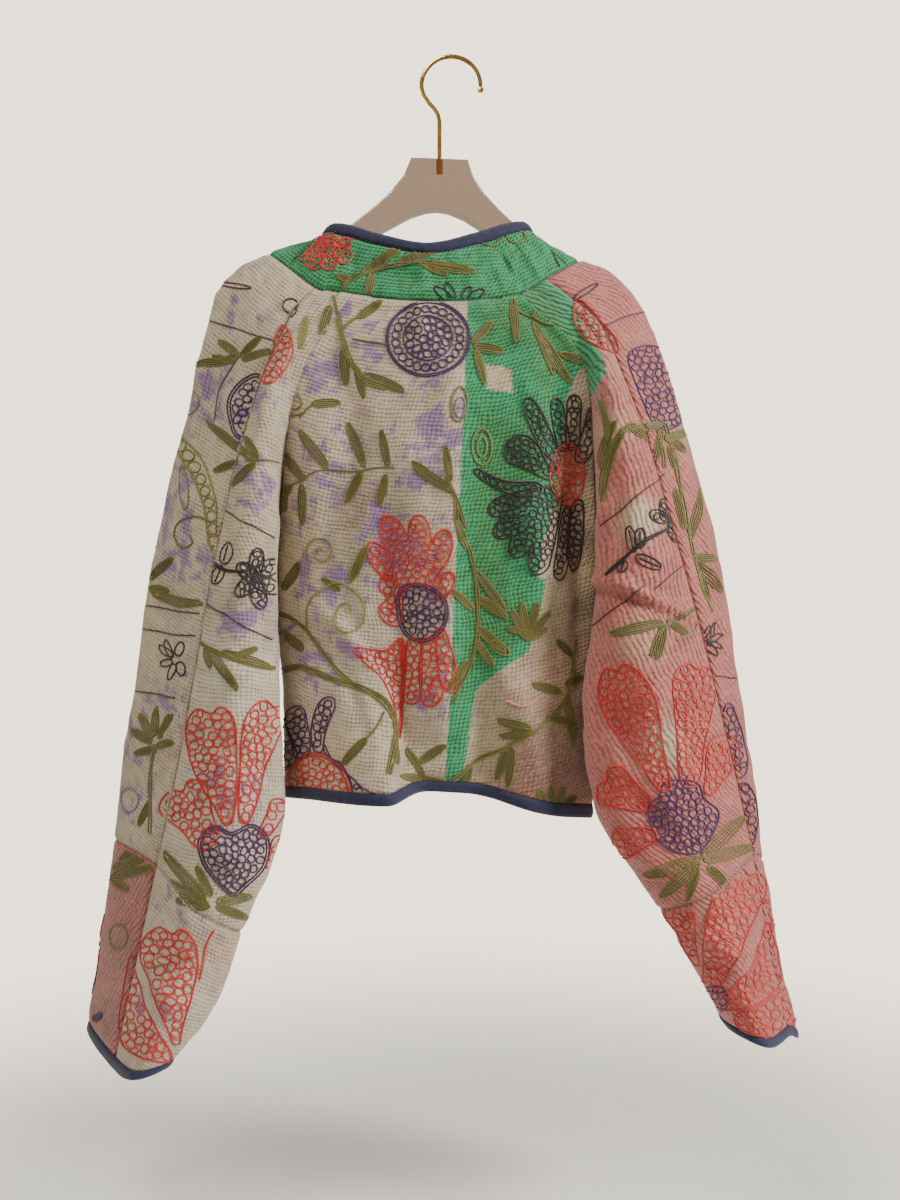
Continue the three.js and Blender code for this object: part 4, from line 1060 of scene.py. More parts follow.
def inset(outline, depth):
    """A closed outline moved inward by a depth."""
    outline = np.asarray(outline, float)
    way = unit(np.roll(outline, -1, 0) - np.roll(outline, 1, 0))
    x, y = outline.T
    turn = np.sign(np.sum(x * np.roll(y, -1) - y * np.roll(x, -1)))
    return outline + np.stack([-way[:, 1], way[:, 0]], 1) * turn * depth


def leaning(centre, p, q, lean):
    """Points p along and q across a direction, round a centre."""
    x = centre[0] + p * math.cos(lean) - q * math.sin(lean)
    y = centre[1] + p * math.sin(lean) + q * math.cos(lean)
    return np.stack([x, y], 1)


def loops(piece, outline, dye, size=7.4, girth=0.74):
    """Uneven round loops, packed by hand as it were, inside an outline."""
    outline = np.asarray(outline, float)
    low, high = outline.min(0), outline.max(0)
    room = float(np.prod(high - low))
    tries = jitter.uniform(low, high, (int(room / 2.2) + 20, 2))
    depth = signed_distance(tries, outline)
    kept, radii = np.zeros((0, 2)), np.zeros(0)
    for radius in (size * 0.56, size * 0.48, size * 0.40):
        for spot in tries[depth > radius * 0.85]:
            if len(kept) == 0 or np.all(np.sum((kept - spot) ** 2, 1) > ((radii + radius) * 0.88) ** 2):
                kept, radii = np.vstack([kept, spot]), np.append(radii, radius)
    for (x, y), radius in zip(kept, radii):
        a = jitter.uniform(0, 2 * math.pi) + np.linspace(0, 2 * math.pi * 1.12, 13)
        wide, lean = jitter.uniform(0.78, 1.2), jitter.uniform(0, math.pi)
        grown = radius * np.linspace(0.9, 1.08, 13)
        p, q = grown * wide * np.cos(a), grown * np.sin(a) / wide
        sew(piece, leaning((x, y), p, q, lean), dye, girth)


def filled(piece, outline, dye, fill=None, rim=1, size=7.4):
    """An outline in one or more rows of chain stitch, with loops inside it."""
    for k in range(rim):
        row = inset(outline, ROW_GAP * k)
        sew(piece, curve(np.concatenate([row, row[:1]])), dye, 0.9)
    loops(piece, inset(outline, ROW_GAP * (rim - 1) + 1.0), fill or dye, size)


ROUND_FROM, LOBED_FROM = 0.72, 34  # where a petal's round end starts, and the width from which it is lobed
ARC = np.linspace(0.12, math.pi / 2, 9)


def petal(piece, base, tip, narrow, wide, dye=RED, fill=None, rim=2, bend=0.0, size=7.4):
    """A long petal, narrow at its base and broad, round and a little uneven at its tip."""
    t = np.concatenate([np.linspace(0, ROUND_FROM, 9), ROUND_FROM + (1 - ROUND_FROM) * np.sin(ARC)])
    middle, axis, side = spine(base, tip, t, bend)
    over = np.clip((t - ROUND_FROM) / (1 - ROUND_FROM), 0, 1)
    half = lerp(narrow, wide, smooth(-0.1, 0.8, t)) / 2
    half = half * np.clip(1 - over**2.6, 0, 1) ** 0.5 * smooth(-0.16, 0.14, t)
    phase = jitter.uniform(0, 6.28, 2)
    left = half * (1 + 0.09 * np.sin(7 * t + phase[0]))
    right = half * (1 + 0.09 * np.sin(7 * t + phase[1]))
    outline = np.concatenate([middle + side * left[:, None], (middle - side * right[:, None])[::-1]])
    if wide > LOBED_FROM:
        # a broad petal ends in two unequal lobes
        across = np.concatenate([left, -right[::-1]])
        near_tip = np.concatenate([over, over[::-1]])
        sunk = near_tip * 0.17 * wide * np.exp(-(((across - 0.08 * wide) / (0.13 * wide)) ** 2))
        outline += (near_tip * 0.05 * across - sunk)[:, None] * axis / max(np.hypot(*axis), 1e-6)
    filled(piece, outline, dye, fill, rim, size)


def petals(piece, dye, fill, size, rows):
    """Petals with one row round each: base, tip, both widths and, for some, how far each bends."""
    for base, tip, narrow, wide, *bend in rows:
        petal(piece, base, tip, narrow, wide, dye, fill, 1, *bend, size=size)


def patch(piece, outline, dye, fill=None, rim=1, size=7.4):
    """A loop-filled shape with a free outline."""
    outline = np.asarray(outline, float)
    ring_points = np.concatenate([outline[-1:], outline, outline[:2]])
    closed = along(ring_points, 1 + np.linspace(0, len(outline), 8 * len(outline), endpoint=False))
    filled(piece, closed, dye, fill, rim, size)


def round_points(centre, reach, a):
    return np.stack([centre[0] + reach * np.cos(a), centre[1] + reach * np.sin(a)], 1)


def scallop(piece, centre, near, far, start, stop, lobes, depth, dye, fill=None, rim=1, size=7.4):
    """A fan with a lobed outer edge: angles in degrees, clockwise from the right; far may change along it."""
    far = np.atleast_1d(far).astype(float)
    a = np.radians(np.linspace(start, stop, 12 * lobes))
    share = np.linspace(0, 1, len(a))
    reach = np.interp(share, np.linspace(0, 1, len(far)), far)
    reach = reach * (1 - depth + depth * np.abs(np.sin(share * lobes * math.pi)) ** 0.55)
    outer, inner = round_points(centre, reach, a), round_points(centre, near, a[::-6])
    filled(piece, np.concatenate([outer, inner]), dye, fill, rim, size)


def ring(piece, centre, rx, ry, dye=OLIVE, tilt=0.0):
    """One oval row of stitches."""
    a = np.linspace(0, 2 * math.pi, 28)
    sew(piece, leaning(centre, rx * np.cos(a), ry * np.sin(a), tilt), dye, 0.9)


def spiral(piece, centre, radius, start, turns, dye=MOSS):
    """One row of stitches that curls inwards."""
    t = np.linspace(0, 1, 50)
    stem(piece, round_points(centre, radius * (1 - 0.86 * t), start + turns * 2 * math.pi * t)[::4], dye, 1)


def oval(centre, rx, ry, tilt=0.0, count=14):
    a = np.linspace(0, 2 * math.pi, count, endpoint=False)
    return leaning(centre, rx * np.cos(a), ry * np.sin(a), tilt)


QUARTER_TURN = 1.57


def florets(piece, centre, tips, rx, ry, size):
    """Small black ovals round a middle, each half way to its tip."""
    for tip in tips:
        half_way = ((centre[0] + tip[0]) / 2, (centre[1] + tip[1]) / 2)
        lean = math.atan2(tip[1] - centre[1], tip[0] - centre[0]) + QUARTER_TURN
        patch(piece, oval(half_way, rx, ry, lean), BLACK, BLACK, 1, size)


def globe(piece, centre, rx, ry, dye, inner=None):
    """A round flower: an outline, a ring of loops round it and more loops inside an inner oval."""
    for out in (1.0, 1.05):
        rim = oval(centre, rx * out, ry * out, 0, 24)
        sew(piece, curve(np.concatenate([rim, rim[:1]])), dye, 0.9)
    ring(piece, centre, rx * 0.62, ry * 0.62, inner or dye)
    count = int(math.pi * (rx + ry) * 0.82 / 8.3)
    for a in np.linspace(0, 2 * math.pi, count, endpoint=False):
        at = (centre[0] + rx * 0.81 * math.cos(a), centre[1] + ry * 0.81 * math.sin(a))
        ring(piece, at, 4.0 * jitter.uniform(0.85, 1.1), 4.0 * jitter.uniform(0.85, 1.1), dye)
    loops(piece, oval(centre, rx * 0.64, ry * 0.64), inner or dye, 7.2, 0.85)


# the back: left panel
globe("B", (428, 339), 40, 36, PURPLE)
stem("B", [(335, 296), (339, 322), (343, 340), (350, 360), (366, 380), (386, 388)], OLIVE, 3, 2.3)
leaves("B", [((364, 374), (405, 391), 11), ((343, 348), (345, 384), 10), ((356, 366), (364, 398), 9),
             ((358, 318), (382, 300), 8)])
stem("B", [(340, 332), (350, 322), (360, 316)], OLIVE, 1)
stem("B", [(352, 339), (370, 342), (388, 345)], OLIVE, 1)
stem("B", [(466, 341), (474, 342)], OLIVE, 1)
spiral("B", (294, 403), 14, 0.9, 1.6, OLIVE)
stem("B", [(300, 418), (309, 408), (316, 402)], OLIVE, 1)
leaf("B", (312, 404), (340, 402), 9)
stem("B", [(277, 488), (300, 482), (322, 470), (350, 471), (374, 468), (394, 467)], OLIVE, 1)
stem("B", [(446, 476), (456, 500), (466, 528)])
leaf("B", (276, 506), (292, 486), 7)
leaves("B", [((329, 468), (300, 430), 11), ((306, 480), (279, 450), 10), ((303, 484), (303, 524), 10),
             ((364, 467), (347, 422), 10), ((388, 466), (381, 430), 9), ((362, 470), (346, 503), 10),
             ((386, 474), (378, 506), 8), ((450, 482), (445, 446), 8), ((430, 474), (412, 462), 7),
             ((414, 466), (452, 492), 11), ((284, 489), (284, 512), 8)])
ring("B", (459, 405), 8, 17, OLIVE, 0.1)
ring("B", (460, 408), 5, 10, GREY, 0.1)
spiral("B", (322, 552), 17, 2.6, 1.5)
stem("B", [(302, 631), (312, 598), (338, 583), (360, 596), (365, 613), (359, 628), (346, 633), (336, 622),
           (339, 606), (348, 603), (350, 612)], MOSS, 1)
leaves("B", [((283, 590), (298, 562), 9), ((350, 582), (367, 546), 9), ((340, 590), (322, 578), 7),
             ((300, 650), (284, 632), 8)])
stem("B", [(274, 674), (300, 667), (332, 679), (362, 688), (382, 701), (393, 722), (394, 744), (389, 774)],
     OLIVE, 3, 2.4)
stem("B", [(274, 614), (290, 618), (312, 640), (334, 668), (356, 686)])
stem("B", [(296, 622), (284, 632), (274, 634)], GREY, 2)
stem("B", [(383, 712), (378, 726), (366, 738)], OLIVE, 1)
leaf("B", (366, 738), (342, 765), 9)
# the red flower with a purple middle
scallop("B", (419, 606), 22, (66, 98, 90, 74), -142, -58, 4, 0.32, RED, CORAL, 1, 7.0)
patch("B", [(384, 574), (379, 588), (386, 598), (379, 610), (388, 624), (400, 622), (400, 588)], RED, RED, 1,
      7.0)
patch("B", [(354, 651), (366, 649), (386, 650), (402, 640), (403, 690), (399, 726), (393, 704), (382, 680),
            (366, 666)], RED, RED, 1, 7.0)
petals("B", RED, CORAL, 7.4, [
    ((413, 638), (411, 704), 14, 22), ((428, 638), (431, 706), 14, 23), ((440, 628), (451, 692), 10, 17),
    ((440, 600), (450, 572), 8, 14),
])
stem("B", [(400, 640), (402, 690), (401, 738)], RED, 2)
patch("B", [(397, 592), (410, 584), (430, 586), (445, 600), (446, 622), (434, 638), (416, 642), (402, 632),
            (396, 612)], PURPLE, PURPLE, 2, 6.8)
# the flower cut off by the hem
patch("B", [(274, 714), (283, 716), (290, 734), (297, 756), (288, 768), (274, 768)], PURPLE, PURPLE, 1, 6.8)
petals("B", PURPLE, PURPLE, 6.8, [((302, 758), (296, 706), 16, 22), ((318, 752), (332, 697), 12, 16, -5)])
patch("B", [(282, 800), (288, 774), (302, 756), (322, 754), (340, 766), (350, 784), (350, 802), (320, 814)],
      RED, CORAL, 2, 7.2)
patch("B", [(324, 744), (334, 762), (350, 776), (366, 790), (384, 798), (372, 812), (352, 812), (352, 786),
            (342, 766), (326, 754)], PURPLE, PURPLE, 1, 6.8)
leaves("B", [((398, 764), (392, 738), 7), ((424, 776), (408, 748), 7), ((420, 762), (446, 744), 9),
             ((400, 776), (448, 782), 9)])
# the back: green and cream panels
leaf("B", (513, 297), (517, 343), 9)
stem("B", [(513, 305), (522, 312), (534, 316)], OLIVE, 1)
stem("B", [(534, 317), (552, 325), (574, 326)], OLIVE, 1)
leaves("B", [((534, 317), (554, 288), 7), ((534, 320), (556, 374), 9), ((540, 332), (572, 383), 9),
             ((560, 352), (600, 368), 8), ((472, 343), (492, 322), 8), ((474, 346), (504, 351), 11),
             ((476, 350), (485, 384), 8)])
ring("B", (482, 447), 10, 18, MOSS)
ring("B", (482, 447), 5, 10, MOSS)
petals("B", BLACK, BLACK, 6.4, [
    ((556, 464), (527, 398), 20, 15), ((554, 474), (508, 442), 18, 30), ((566, 450), (556, 398), 12, 14),
    ((574, 450), (574, 395), 12, 14), ((582, 462), (598, 404), 12, 16), ((540, 490), (474, 470), 16, 9, -6),
])
scallop("B", (570, 478), 22, (84, 94, 98, 106), 166, 104, 4, 0.2, BLACK, BLACK, 1, 6.4)
petals("B", BLACK, BLACK, 6.4, [((572, 506), (558, 580), 10, 16), ((582, 500), (576, 572), 12, 16)])
patch("B", [(552, 462), (562, 446), (574, 444), (584, 460), (586, 484), (576, 506), (562, 502), (550, 484)],
      RED, CORAL, 1, 6.8)
stem("B", [(455, 500), (458, 530), (470, 552), (478, 600), (475, 650), (452, 702)])
stem("B", [(478, 596), (494, 604), (506, 618)])
leaves("B", [((476, 570), (506, 612), 9), ((478, 600), (508, 618), 8), ((476, 626), (506, 652), 10),
             ((474, 610), (452, 590), 8), ((476, 640), (494, 668), 8), ((468, 660), (448, 690), 8),
             ((466, 548), (456, 520), 8)])
ring("B", (500, 648), 11, 5, OLIVE, 0.6)
for tip in ((512, 610), (522, 602), (536, 602), (548, 612), (546, 628)):
    leaf("B", (526, 640), tip, 8)
leaf("B", (522, 632), (508, 628), 7)
stem("B", [(450, 782), (478, 760), (510, 745), (544, 722), (566, 694), (578, 640)])
leaves("B", [((560, 692), (532, 684), 9), ((564, 684), (584, 676), 8), ((530, 728), (497, 720), 10),
             ((534, 732), (500, 736), 8), ((512, 746), (508, 788), 10), ((506, 750), (496, 780), 8),
             ((574, 656), (556, 640), 8), ((470, 764), (462, 790), 8), ((546, 716), (574, 724), 8),
             ((566, 694), (572, 744), 9)])
for tip in ((538, 788), (550, 784), (564, 788), (576, 796), (578, 808)):
    leaf("B", (552, 816), tip, 9)
stem("B", [(506, 700), (520, 706), (536, 700)], PALE_PINK, 1)

# the neck band
ROSETTE = ((296, 240), (298, 258), (312, 270), (332, 270), (350, 260), (352, 240))
petals("NB", RED, CORAL, 6.4, [((322, 240), tip, 9, 17) for tip in ROSETTE])
stem("NB", [(340, 300), (346, 284), (368, 271), (400, 264), (438, 263), (474, 272)])
leaves("NB", [((362, 273), (402, 246), 9), ((372, 270), (368, 298), 8), ((394, 265), (444, 246), 9),
              ((430, 264), (476, 272), 10), ((352, 280), (336, 276), 8), ((420, 264), (448, 274), 7)])
ring("NB", (490, 240), 9, 6)
ring("NB", (516, 237), 9, 6)
stem("NB", [(546, 236), (552, 252), (560, 268)], MAROON, 1, girth=0.8)
open_leaves("NB", 9, (
    ((452, 300), (434, 287)), ((454, 299), (446, 282)), ((464, 299), (470, 287)), ((468, 300), (484, 290)),
))

# left sleeve, outer side
leaf("LO", (216, 284), (252, 288), 5, MAROON, 1)
thin_line("LO", [(208, 320), (240, 330), (276, 342)])
leaves("LO", [((238, 354), (217, 340), 9), ((240, 356), (197, 366), 9), ((240, 357), (262, 336), 8),
              ((242, 360), (272, 350), 8), ((236, 362), (212, 356), 7)])
stem("LO", [(240, 356), (222, 384), (214, 420)], OLIVE, 1)
patch("LO", [(262, 378), (244, 380), (231, 396), (229, 416), (236, 436), (252, 440), (262, 430)], PURPLE,
      PURPLE, 2, 7.0)
stem("LO", [(180, 434), (196, 450), (208, 474), (217, 504), (216, 552)], MOSS, 1)
stem("LO", [(176, 446), (190, 470), (204, 504), (212, 552)], MOSS, 1)
for place in ((184, 446), (190, 456), (195, 467), (201, 479), (206, 491), (210, 503), (213, 516), (214, 529),
              (214, 541)):
    ring("LO", place, 5.0, 5.4, MOSS)
leaf("LO", (184, 440), (164, 420), 9, MOSS)
ring("LO", (192, 402), 10, 13, MOSS)
leaf("LO", (184, 466), (188, 510), 10, MOSS, 1)
stem("LO", [(212, 522), (196, 517), (180, 523), (175, 536), (182, 547), (192, 543), (190, 536)], OLIVE, 1)
leaves("LO", [((150, 580), (172, 557), 8, 0), ((150, 588), (167, 590), 8, 0),
              ((152, 592), (203, 603), 11, 4)])
thin_line("LO", [(140, 604), (166, 609), (200, 614)])
thin_line("LO", [(140, 628), (170, 634), (196, 636)])
open_leaves("LO", 8, (
    ((176, 656), (156, 646)), ((176, 658), (164, 640)), ((180, 656), (184, 642)), ((176, 662), (160, 664)),
    ((178, 664), (172, 680)), ((182, 662), (184, 676)),
))
thin_line("LO", [(132, 690), (156, 694), (178, 698)])
leaves("LO", [((152, 742), (132, 730), 9), ((152, 738), (140, 714), 8), ((154, 736), (156, 706), 9),
              ((158, 738), (174, 714), 8), ((156, 748), (136, 754), 8), ((156, 746), (174, 742), 8)])
stem("LO", [(156, 744), (152, 770), (150, 800), (152, 834)])
ring("LO", (130, 800), 8, 12, LAVENDER)
leaf("LO", (150, 800), (140, 826), 8)
# its seam edge, over the shoulder
ring("LO", (291, 306), 8, 7, BLACK)
leaves("LP", [((112, 868), (150, 856), 10), ((116, 876), (158, 866), 9), ((120, 862), (140, 842), 8),
              ((112, 880), (130, 890), 8)])
stem("LP", [(150, 846), (124, 866), (104, 884)])
ring("LP", (120, 936), 9, 12)
leaf("LP", (94, 1020), (102, 1014), 8, PURPLE)

# left sleeve, inner side
patch("LI LO", [(284, 324), (274, 340), (274, 354), (266, 366), (262, 380), (270, 384), (282, 374),
                (292, 356), (292, 340)], CORAL, CORAL, 1, 6.8)
leaf("LI", (307, 316), (300, 349), 8, MOSS)
leaf("LI", (330, 306), (321, 336), 10)
leaf("B", (330, 306), (321, 336), 10)
stem("LI", [(334, 296), (338, 318), (343, 338)])
open_leaves("LI", 6, (((298, 300), (284, 302)), ((298, 304), (284, 312)), ((296, 308), (290, 316))))
leaves("LI LO", [((254, 460), (205, 421), 9), ((238, 462), (213, 471), 8), ((256, 462), (231, 486), 9),
                 ((258, 460), (246, 437), 9)])
stem("LI LO", [(246, 460), (262, 460), (278, 463)], OLIVE, 1)
thin_line("LI", [(224, 510), (250, 525), (275, 538)])
stem("LI", [(212, 562), (226, 570), (248, 572)], BLACK, 2, 1.8)
leaf("LI", (222, 566), (214, 584), 9, BLACK)
leaf("LI", (224, 564), (232, 543), 9, BLACK)
tips = ((258, 548), (278, 562), (276, 590), (261, 610), (236, 594), (242, 568))
florets("LI", (257, 578), tips, 8, 15, 6.4)
thin_line("LI", [(200, 600), (236, 622), (272, 640)])
stem("LI", [(196, 640), (214, 650), (240, 660), (274, 668)])
leaves("LI", [((212, 648), (238, 690), 10), ((222, 652), (272, 668), 11), ((206, 648), (214, 668), 8),
              ((236, 656), (258, 648), 7)])
petals("LI LO", RED, CORAL, 8.2, [
    ((212, 846), (176, 786), 22, 50), ((228, 824), (206, 706), 12, 54), ((244, 822), (272, 700), 12, 38, -3),
    ((262, 836), (282, 800), 10, 18), ((268, 868), (282, 836), 8, 14),
])
patch("LI LO", [(232, 832), (252, 824), (268, 838), (266, 862), (248, 884), (234, 896), (218, 884),
                (202, 862), (202, 838), (216, 826)], PURPLE, PURPLE, 2, 7.0)
leaves("LI", [((206, 900), (164, 852), 12), ((208, 904), (158, 878), 12), ((210, 906), (176, 906), 10),
              ((216, 902), (252, 896), 11), ((216, 906), (248, 918), 10), ((212, 896), (196, 866), 9)])
leaves("LL", [((206, 900), (164, 852), 12), ((208, 906), (176, 900), 10), ((216, 908), (250, 912), 11),
              ((214, 912), (238, 930), 9)])
petals("LL LP", RED, CORAL, 8.4, [((177, 1044), (168, 925), 8, 54)])
patch("LL LP", [(131, 956), (138, 976), (147, 1006), (160, 1034), (172, 1056), (160, 1062), (134, 1054),
                (120, 1036), (121, 1004)], RED, CORAL, 1, 8.0)
patch("LL LP", [(110, 1050), (116, 1062), (134, 1072), (162, 1076), (160, 1092), (130, 1092), (108, 1080)],
      RED, CORAL, 1, 8.0)
stem("LL", [(214, 930), (206, 950), (200, 980)], CORAL, 1)

# right sleeve, inner side
patch("RI RO", [(577, 300), (574, 318), (581, 334), (594, 345), (617, 353), (614, 338), (602, 322),
                (590, 308)], RED, RUST, 1, 6.8)
patch("RI RO", [(627, 358), (640, 347), (656, 347), (674, 354), (684, 386), (688, 414), (668, 430),
                (652, 424), (638, 392)], PURPLE, PURPLE, 1, 7.0)
leaf("RI RO", (573, 300), (598, 283), 6, MAROON, 1)
thin_line("RI", [(556, 268), (568, 262), (580, 258)])
thin_line("RI RO", [(604, 326), (626, 317), (648, 311)])
leaves("RI RO", [((602, 500), (628, 424), 11, -8), ((600, 470), (616, 420), 9, -5),
                 ((640, 430), (660, 425), 8, 0), ((606, 440), (600, 400), 8, 2),
                 ((628, 424), (650, 440), 9, 0)])
stem("RI RO", [(602, 500), (606, 460), (618, 436), (640, 426), (664, 424)])
stem("RI RO", [(652, 420), (660, 440), (664, 468)])
leaf("RI RO", (660, 430), (656, 462), 8)
thin_line("RI RO", [(600, 526), (632, 500), (664, 474)])
stem("RI", [(606, 575), (626, 556), (646, 540), (668, 528)], BLACK, 2, 1.8)
for base, tip in (((634, 552), (628, 526)), ((640, 548), (640, 528)), ((636, 556), (660, 568)),
                  ((624, 560), (620, 572))):
    leaf("RI", base, tip, 9, BLACK)
tips = ((648, 512), (660, 496), (674, 500), (686, 512), (686, 530), (676, 544))
florets("RI", (668, 522), tips, 6, 10, 6.0)
thin_line("RI", [(592, 626), (618, 606), (644, 586)])
thin_line("RI", [(654, 590), (672, 574), (688, 562)])
leaves("RI", [((664, 622), (610, 634), 11), ((664, 624), (656, 660), 10), ((668, 620), (688, 634), 9)])
stem("RI", [(650, 656), (662, 630), (688, 612), (700, 604)])
stem("RI", [(700, 604), (694, 630), (676, 640)], MOSS, 1)
petals("RI RO", RED, CORAL, 8.0, [
    ((666, 790), (610, 664), 16, 50), ((688, 786), (694, 662), 18, 44), ((652, 806), (600, 780), 14, 40),
    ((656, 836), (614, 842), 12, 32), ((706, 794), (730, 736), 14, 32),
])
patch("RI RO", [(648, 808), (659, 797), (664, 784), (680, 779), (696, 784), (702, 798), (717, 811),
                (714, 830), (700, 852), (680, 853), (662, 844), (652, 828)], PURPLE, PURPLE, 1, 7.2)
leaves("RI RO RL", [((702, 858), (644, 876), 14), ((700, 862), (660, 898), 13), ((698, 866), (687, 902), 9),
                    ((702, 858), (744, 816), 14), ((704, 861), (754, 846), 13), ((708, 866), (728, 888), 10)])
# right sleeve, outer side
leaves("RO", [((664, 440), (692, 430), 9), ((664, 436), (684, 452), 9), ((668, 446), (676, 470), 8),
              ((690, 542), (700, 488), 9), ((684, 530), (674, 488), 8), ((696, 560), (722, 592), 10),
              ((700, 570), (712, 612), 9), ((694, 556), (716, 560), 8)])
stem("RO", [(664, 424), (672, 452), (680, 490), (690, 540), (704, 590)])
for tip in ((708, 626), (716, 622), (724, 634), (724, 648), (716, 656)):
    leaf("RO", (706, 642), tip, 6, BLACK, 1)
thin_line("RO", [(714, 676), (724, 677), (738, 678)])
patch("RO", [(724, 708), (734, 708), (744, 740), (744, 772), (734, 776), (727, 750)], PURPLE, PURPLE, 1, 7.0)
patch("RO", [(740, 786), (750, 790), (757, 820), (752, 846), (744, 830)], PURPLE, PURPLE, 1, 7.0)
leaf("RO", (704, 880), (750, 830), 11)
# its lower part
petals("RL RP", RED, CORAL, 8.2, [((709, 990), (747, 866), 20, 50)])
patch("RL RP", [(767, 922), (774, 942), (780, 962), (779, 984), (764, 1000), (740, 1010), (718, 1008),
                (722, 996), (740, 982), (753, 962), (761, 938)], RED, CORAL, 1, 8.0)
patch("RL RP", [(735, 1016), (760, 1006), (788, 988), (794, 1014), (788, 1034), (762, 1036), (742, 1030)],
      RED, CORAL, 1, 8.0)
patch("RL", [(664, 912), (690, 906), (696, 934), (698, 966), (688, 952), (676, 932)], RED, RED, 1, 7.4)
patch("RL", [(704, 990), (722, 988), (728, 1004), (716, 1012)], PURPLE, PURPLE, 1, 6.6)
leaf("RL", (690, 884), (662, 900), 9)
petal("RP", (760, 950), (766, 900), 14, 26, RED, CORAL, 2)


# the sides turned away: the same flowers and leaves, in millimetres on each piece
def spray(piece, x, y, size=1.0, turn=0.0, dye=OLIVE):
    """A curved stem with leaves to both sides."""
    def spin(points):
        c, s = size * math.cos(turn), size * math.sin(turn)
        return [(x + a * c - b * s, y + a * s + b * c) for a, b in points]

    stem(piece, spin([(0, 0), (6, -28), (2, -60), (-10, -92)]), dye, 2)
    twigs = (
        ((5, -20), (28, -40)), ((5, -34), (-22, -50)), ((3, -52), (24, -74)), ((-2, -70), (-30, -84)),
        ((-10, -90), (-16, -122)),
    )
    for twig in twigs:
        leaf(piece, *spin(twig), 10 * size, dye)


def fan(piece, x, y, size=1.0, turn=0.0, dye=RED, fill=CORAL, middle=PURPLE, count=5, spread=2.0):
    """A fan of long petals over a round middle, with a pair of leaves under it."""
    def out_by(reach, a):
        way = turn - math.pi / 2 + a
        return x + reach * math.cos(way), y + reach * math.sin(way)

    for k, a in enumerate(np.linspace(-spread / 2, spread / 2, count)):
        long = size * (84 if k % 2 == 0 else 94)
        petal(piece, out_by(22 * size, a), out_by(long, a), 14 * size, 34 * size, dye, fill, 2)
    patch(piece, oval((x, y), 25 * size, 26 * size), middle, middle, 2, 7.0)
    for a in (-2.4, 2.4):
        leaf(piece, out_by(28 * size, a), out_by(76 * size, a), 12 * size)


fan("~FL", 74, 250, 0.72, 0.2)
spray("~FL", 50, 130, 0.9, 0.2)
spray("~FL", 40, 330, 0.9, -0.3)
globe("~FL", (96, 356), 26, 24, PURPLE)
leaf("~FL", (90, 120), (110, 90), 10)
fan("~FR", 60, 210, 0.7, -0.3, BLACK, BLACK, RED)
spray("~FR", 90, 330, 0.95, 0.3)
globe("~FR", (60, 356), 24, 26, RED, CORAL)
spray("~FR", 46, 100, 0.8, 0.1)
for piece, flip in (("~LO", 1), ("~RO", -1)):
    fan(piece, 150, 520, 0.85, 0.1 * flip)
    spray(piece, 150, 400, 1.0, 0.25 * flip)
    globe(piece, (150, 250), 30, 28, PURPLE)
    spray(piece, 130, 190, 0.8, -0.3 * flip)
    spiral(piece, (120, 330), 18, 0.4, 1.6)
    thin_line(piece, [(90, 300), (140, 290), (190, 296)])
for piece in ("~LP", "~RP"):
    fan(piece, 90, 130, 0.7, 0.1, RED, CORAL)
spray("~LP", 40, 170, 0.8, 0.2)
for piece, places in (("~NL", (90, 210, 330, 450)), ("~NR", (130, 240, 360, 470))):
    for k, x in enumerate(places):
        stem(piece, [(x - 44, 30), (x - 14, 22), (x + 14, 28), (x + 44, 20)])
        leaf(piece, (x - 20, 24), (x - 6, 8), 9)
        leaf(piece, (x, 26), (x + 16, 42), 9)
        if k % 2:
            patch(piece, oval((x + 26, 32), 11, 9), RED if piece == "~NL" else PURPLE, None, 1, 6.6)


OFF_BY, BARELY_SHOWN = 2.5, 0.3  # how near a place has to be to its point, and how much of it shown
EDGE = 0.45  # how many cells a stitch stays off a piece's edge


def shown_at(name, places):
    return at_places(seen[name][1].astype(float), places)[:, 0]


def place_in_view(name, points, size):
    """Grid places of view points, with a mark for those that lie where the piece is shown."""
    at = to_grid(name, points)
    held = np.clip(at, 0, size)
    miss = np.linalg.norm(at_places(seen[name][0], held) - points, axis=1)
    return at, (miss < OFF_BY) & (shown_at(name, held) > BARELY_SHOWN)


def place_by_measure(name, points, size):
    """Grid places of points in millimetres across and down a piece, with a mark for those turned away."""
    fi, fj = shell[name]["flat"][..., 0], shell[name]["flat"][..., 1]

    def cell(x, marks, last):
        return np.interp(x, marks, np.arange(len(marks)), left=-1, right=last + 1)

    if name in ("neck_band_left", "neck_band_right"):
        i = cell(points[:, 0], fi[:, fi.shape[1] // 2], size[0])
        j = cell(points[:, 1], fj[0], size[1])
    else:
        j = cell(points[:, 1], fj[fj.shape[0] // 2], size[1])
        rows = np.clip(np.round(j).astype(int), 0, size[1])
        i = np.array([cell(x, fi[:, row], size[0]) for x, row in zip(points[:, 0], rows)])
    at = np.stack([i, j], 1)
    good = np.ones(len(at), bool)
    if name.endswith("_front") and name.startswith("sleeve"):
        good = shown_at(name, np.clip(at, 0, size)) < 0.5
    return at, good


def place_on(name, points, by_measure):
    """Stroke points as places on a piece's fine grid, with a mark for those that really lie on it."""
    size = np.array(grids[name].shape[:2]) - 1
    at, good = (place_by_measure if by_measure else place_in_view)(name, points, size)
    return np.clip(at, 0, size), good & np.all((at > EDGE) & (at < size - EDGE), axis=1)


SLIM, SWELL = 0.66, 0.42  # a stitch's thickness at its ends, and what it gains in its middle


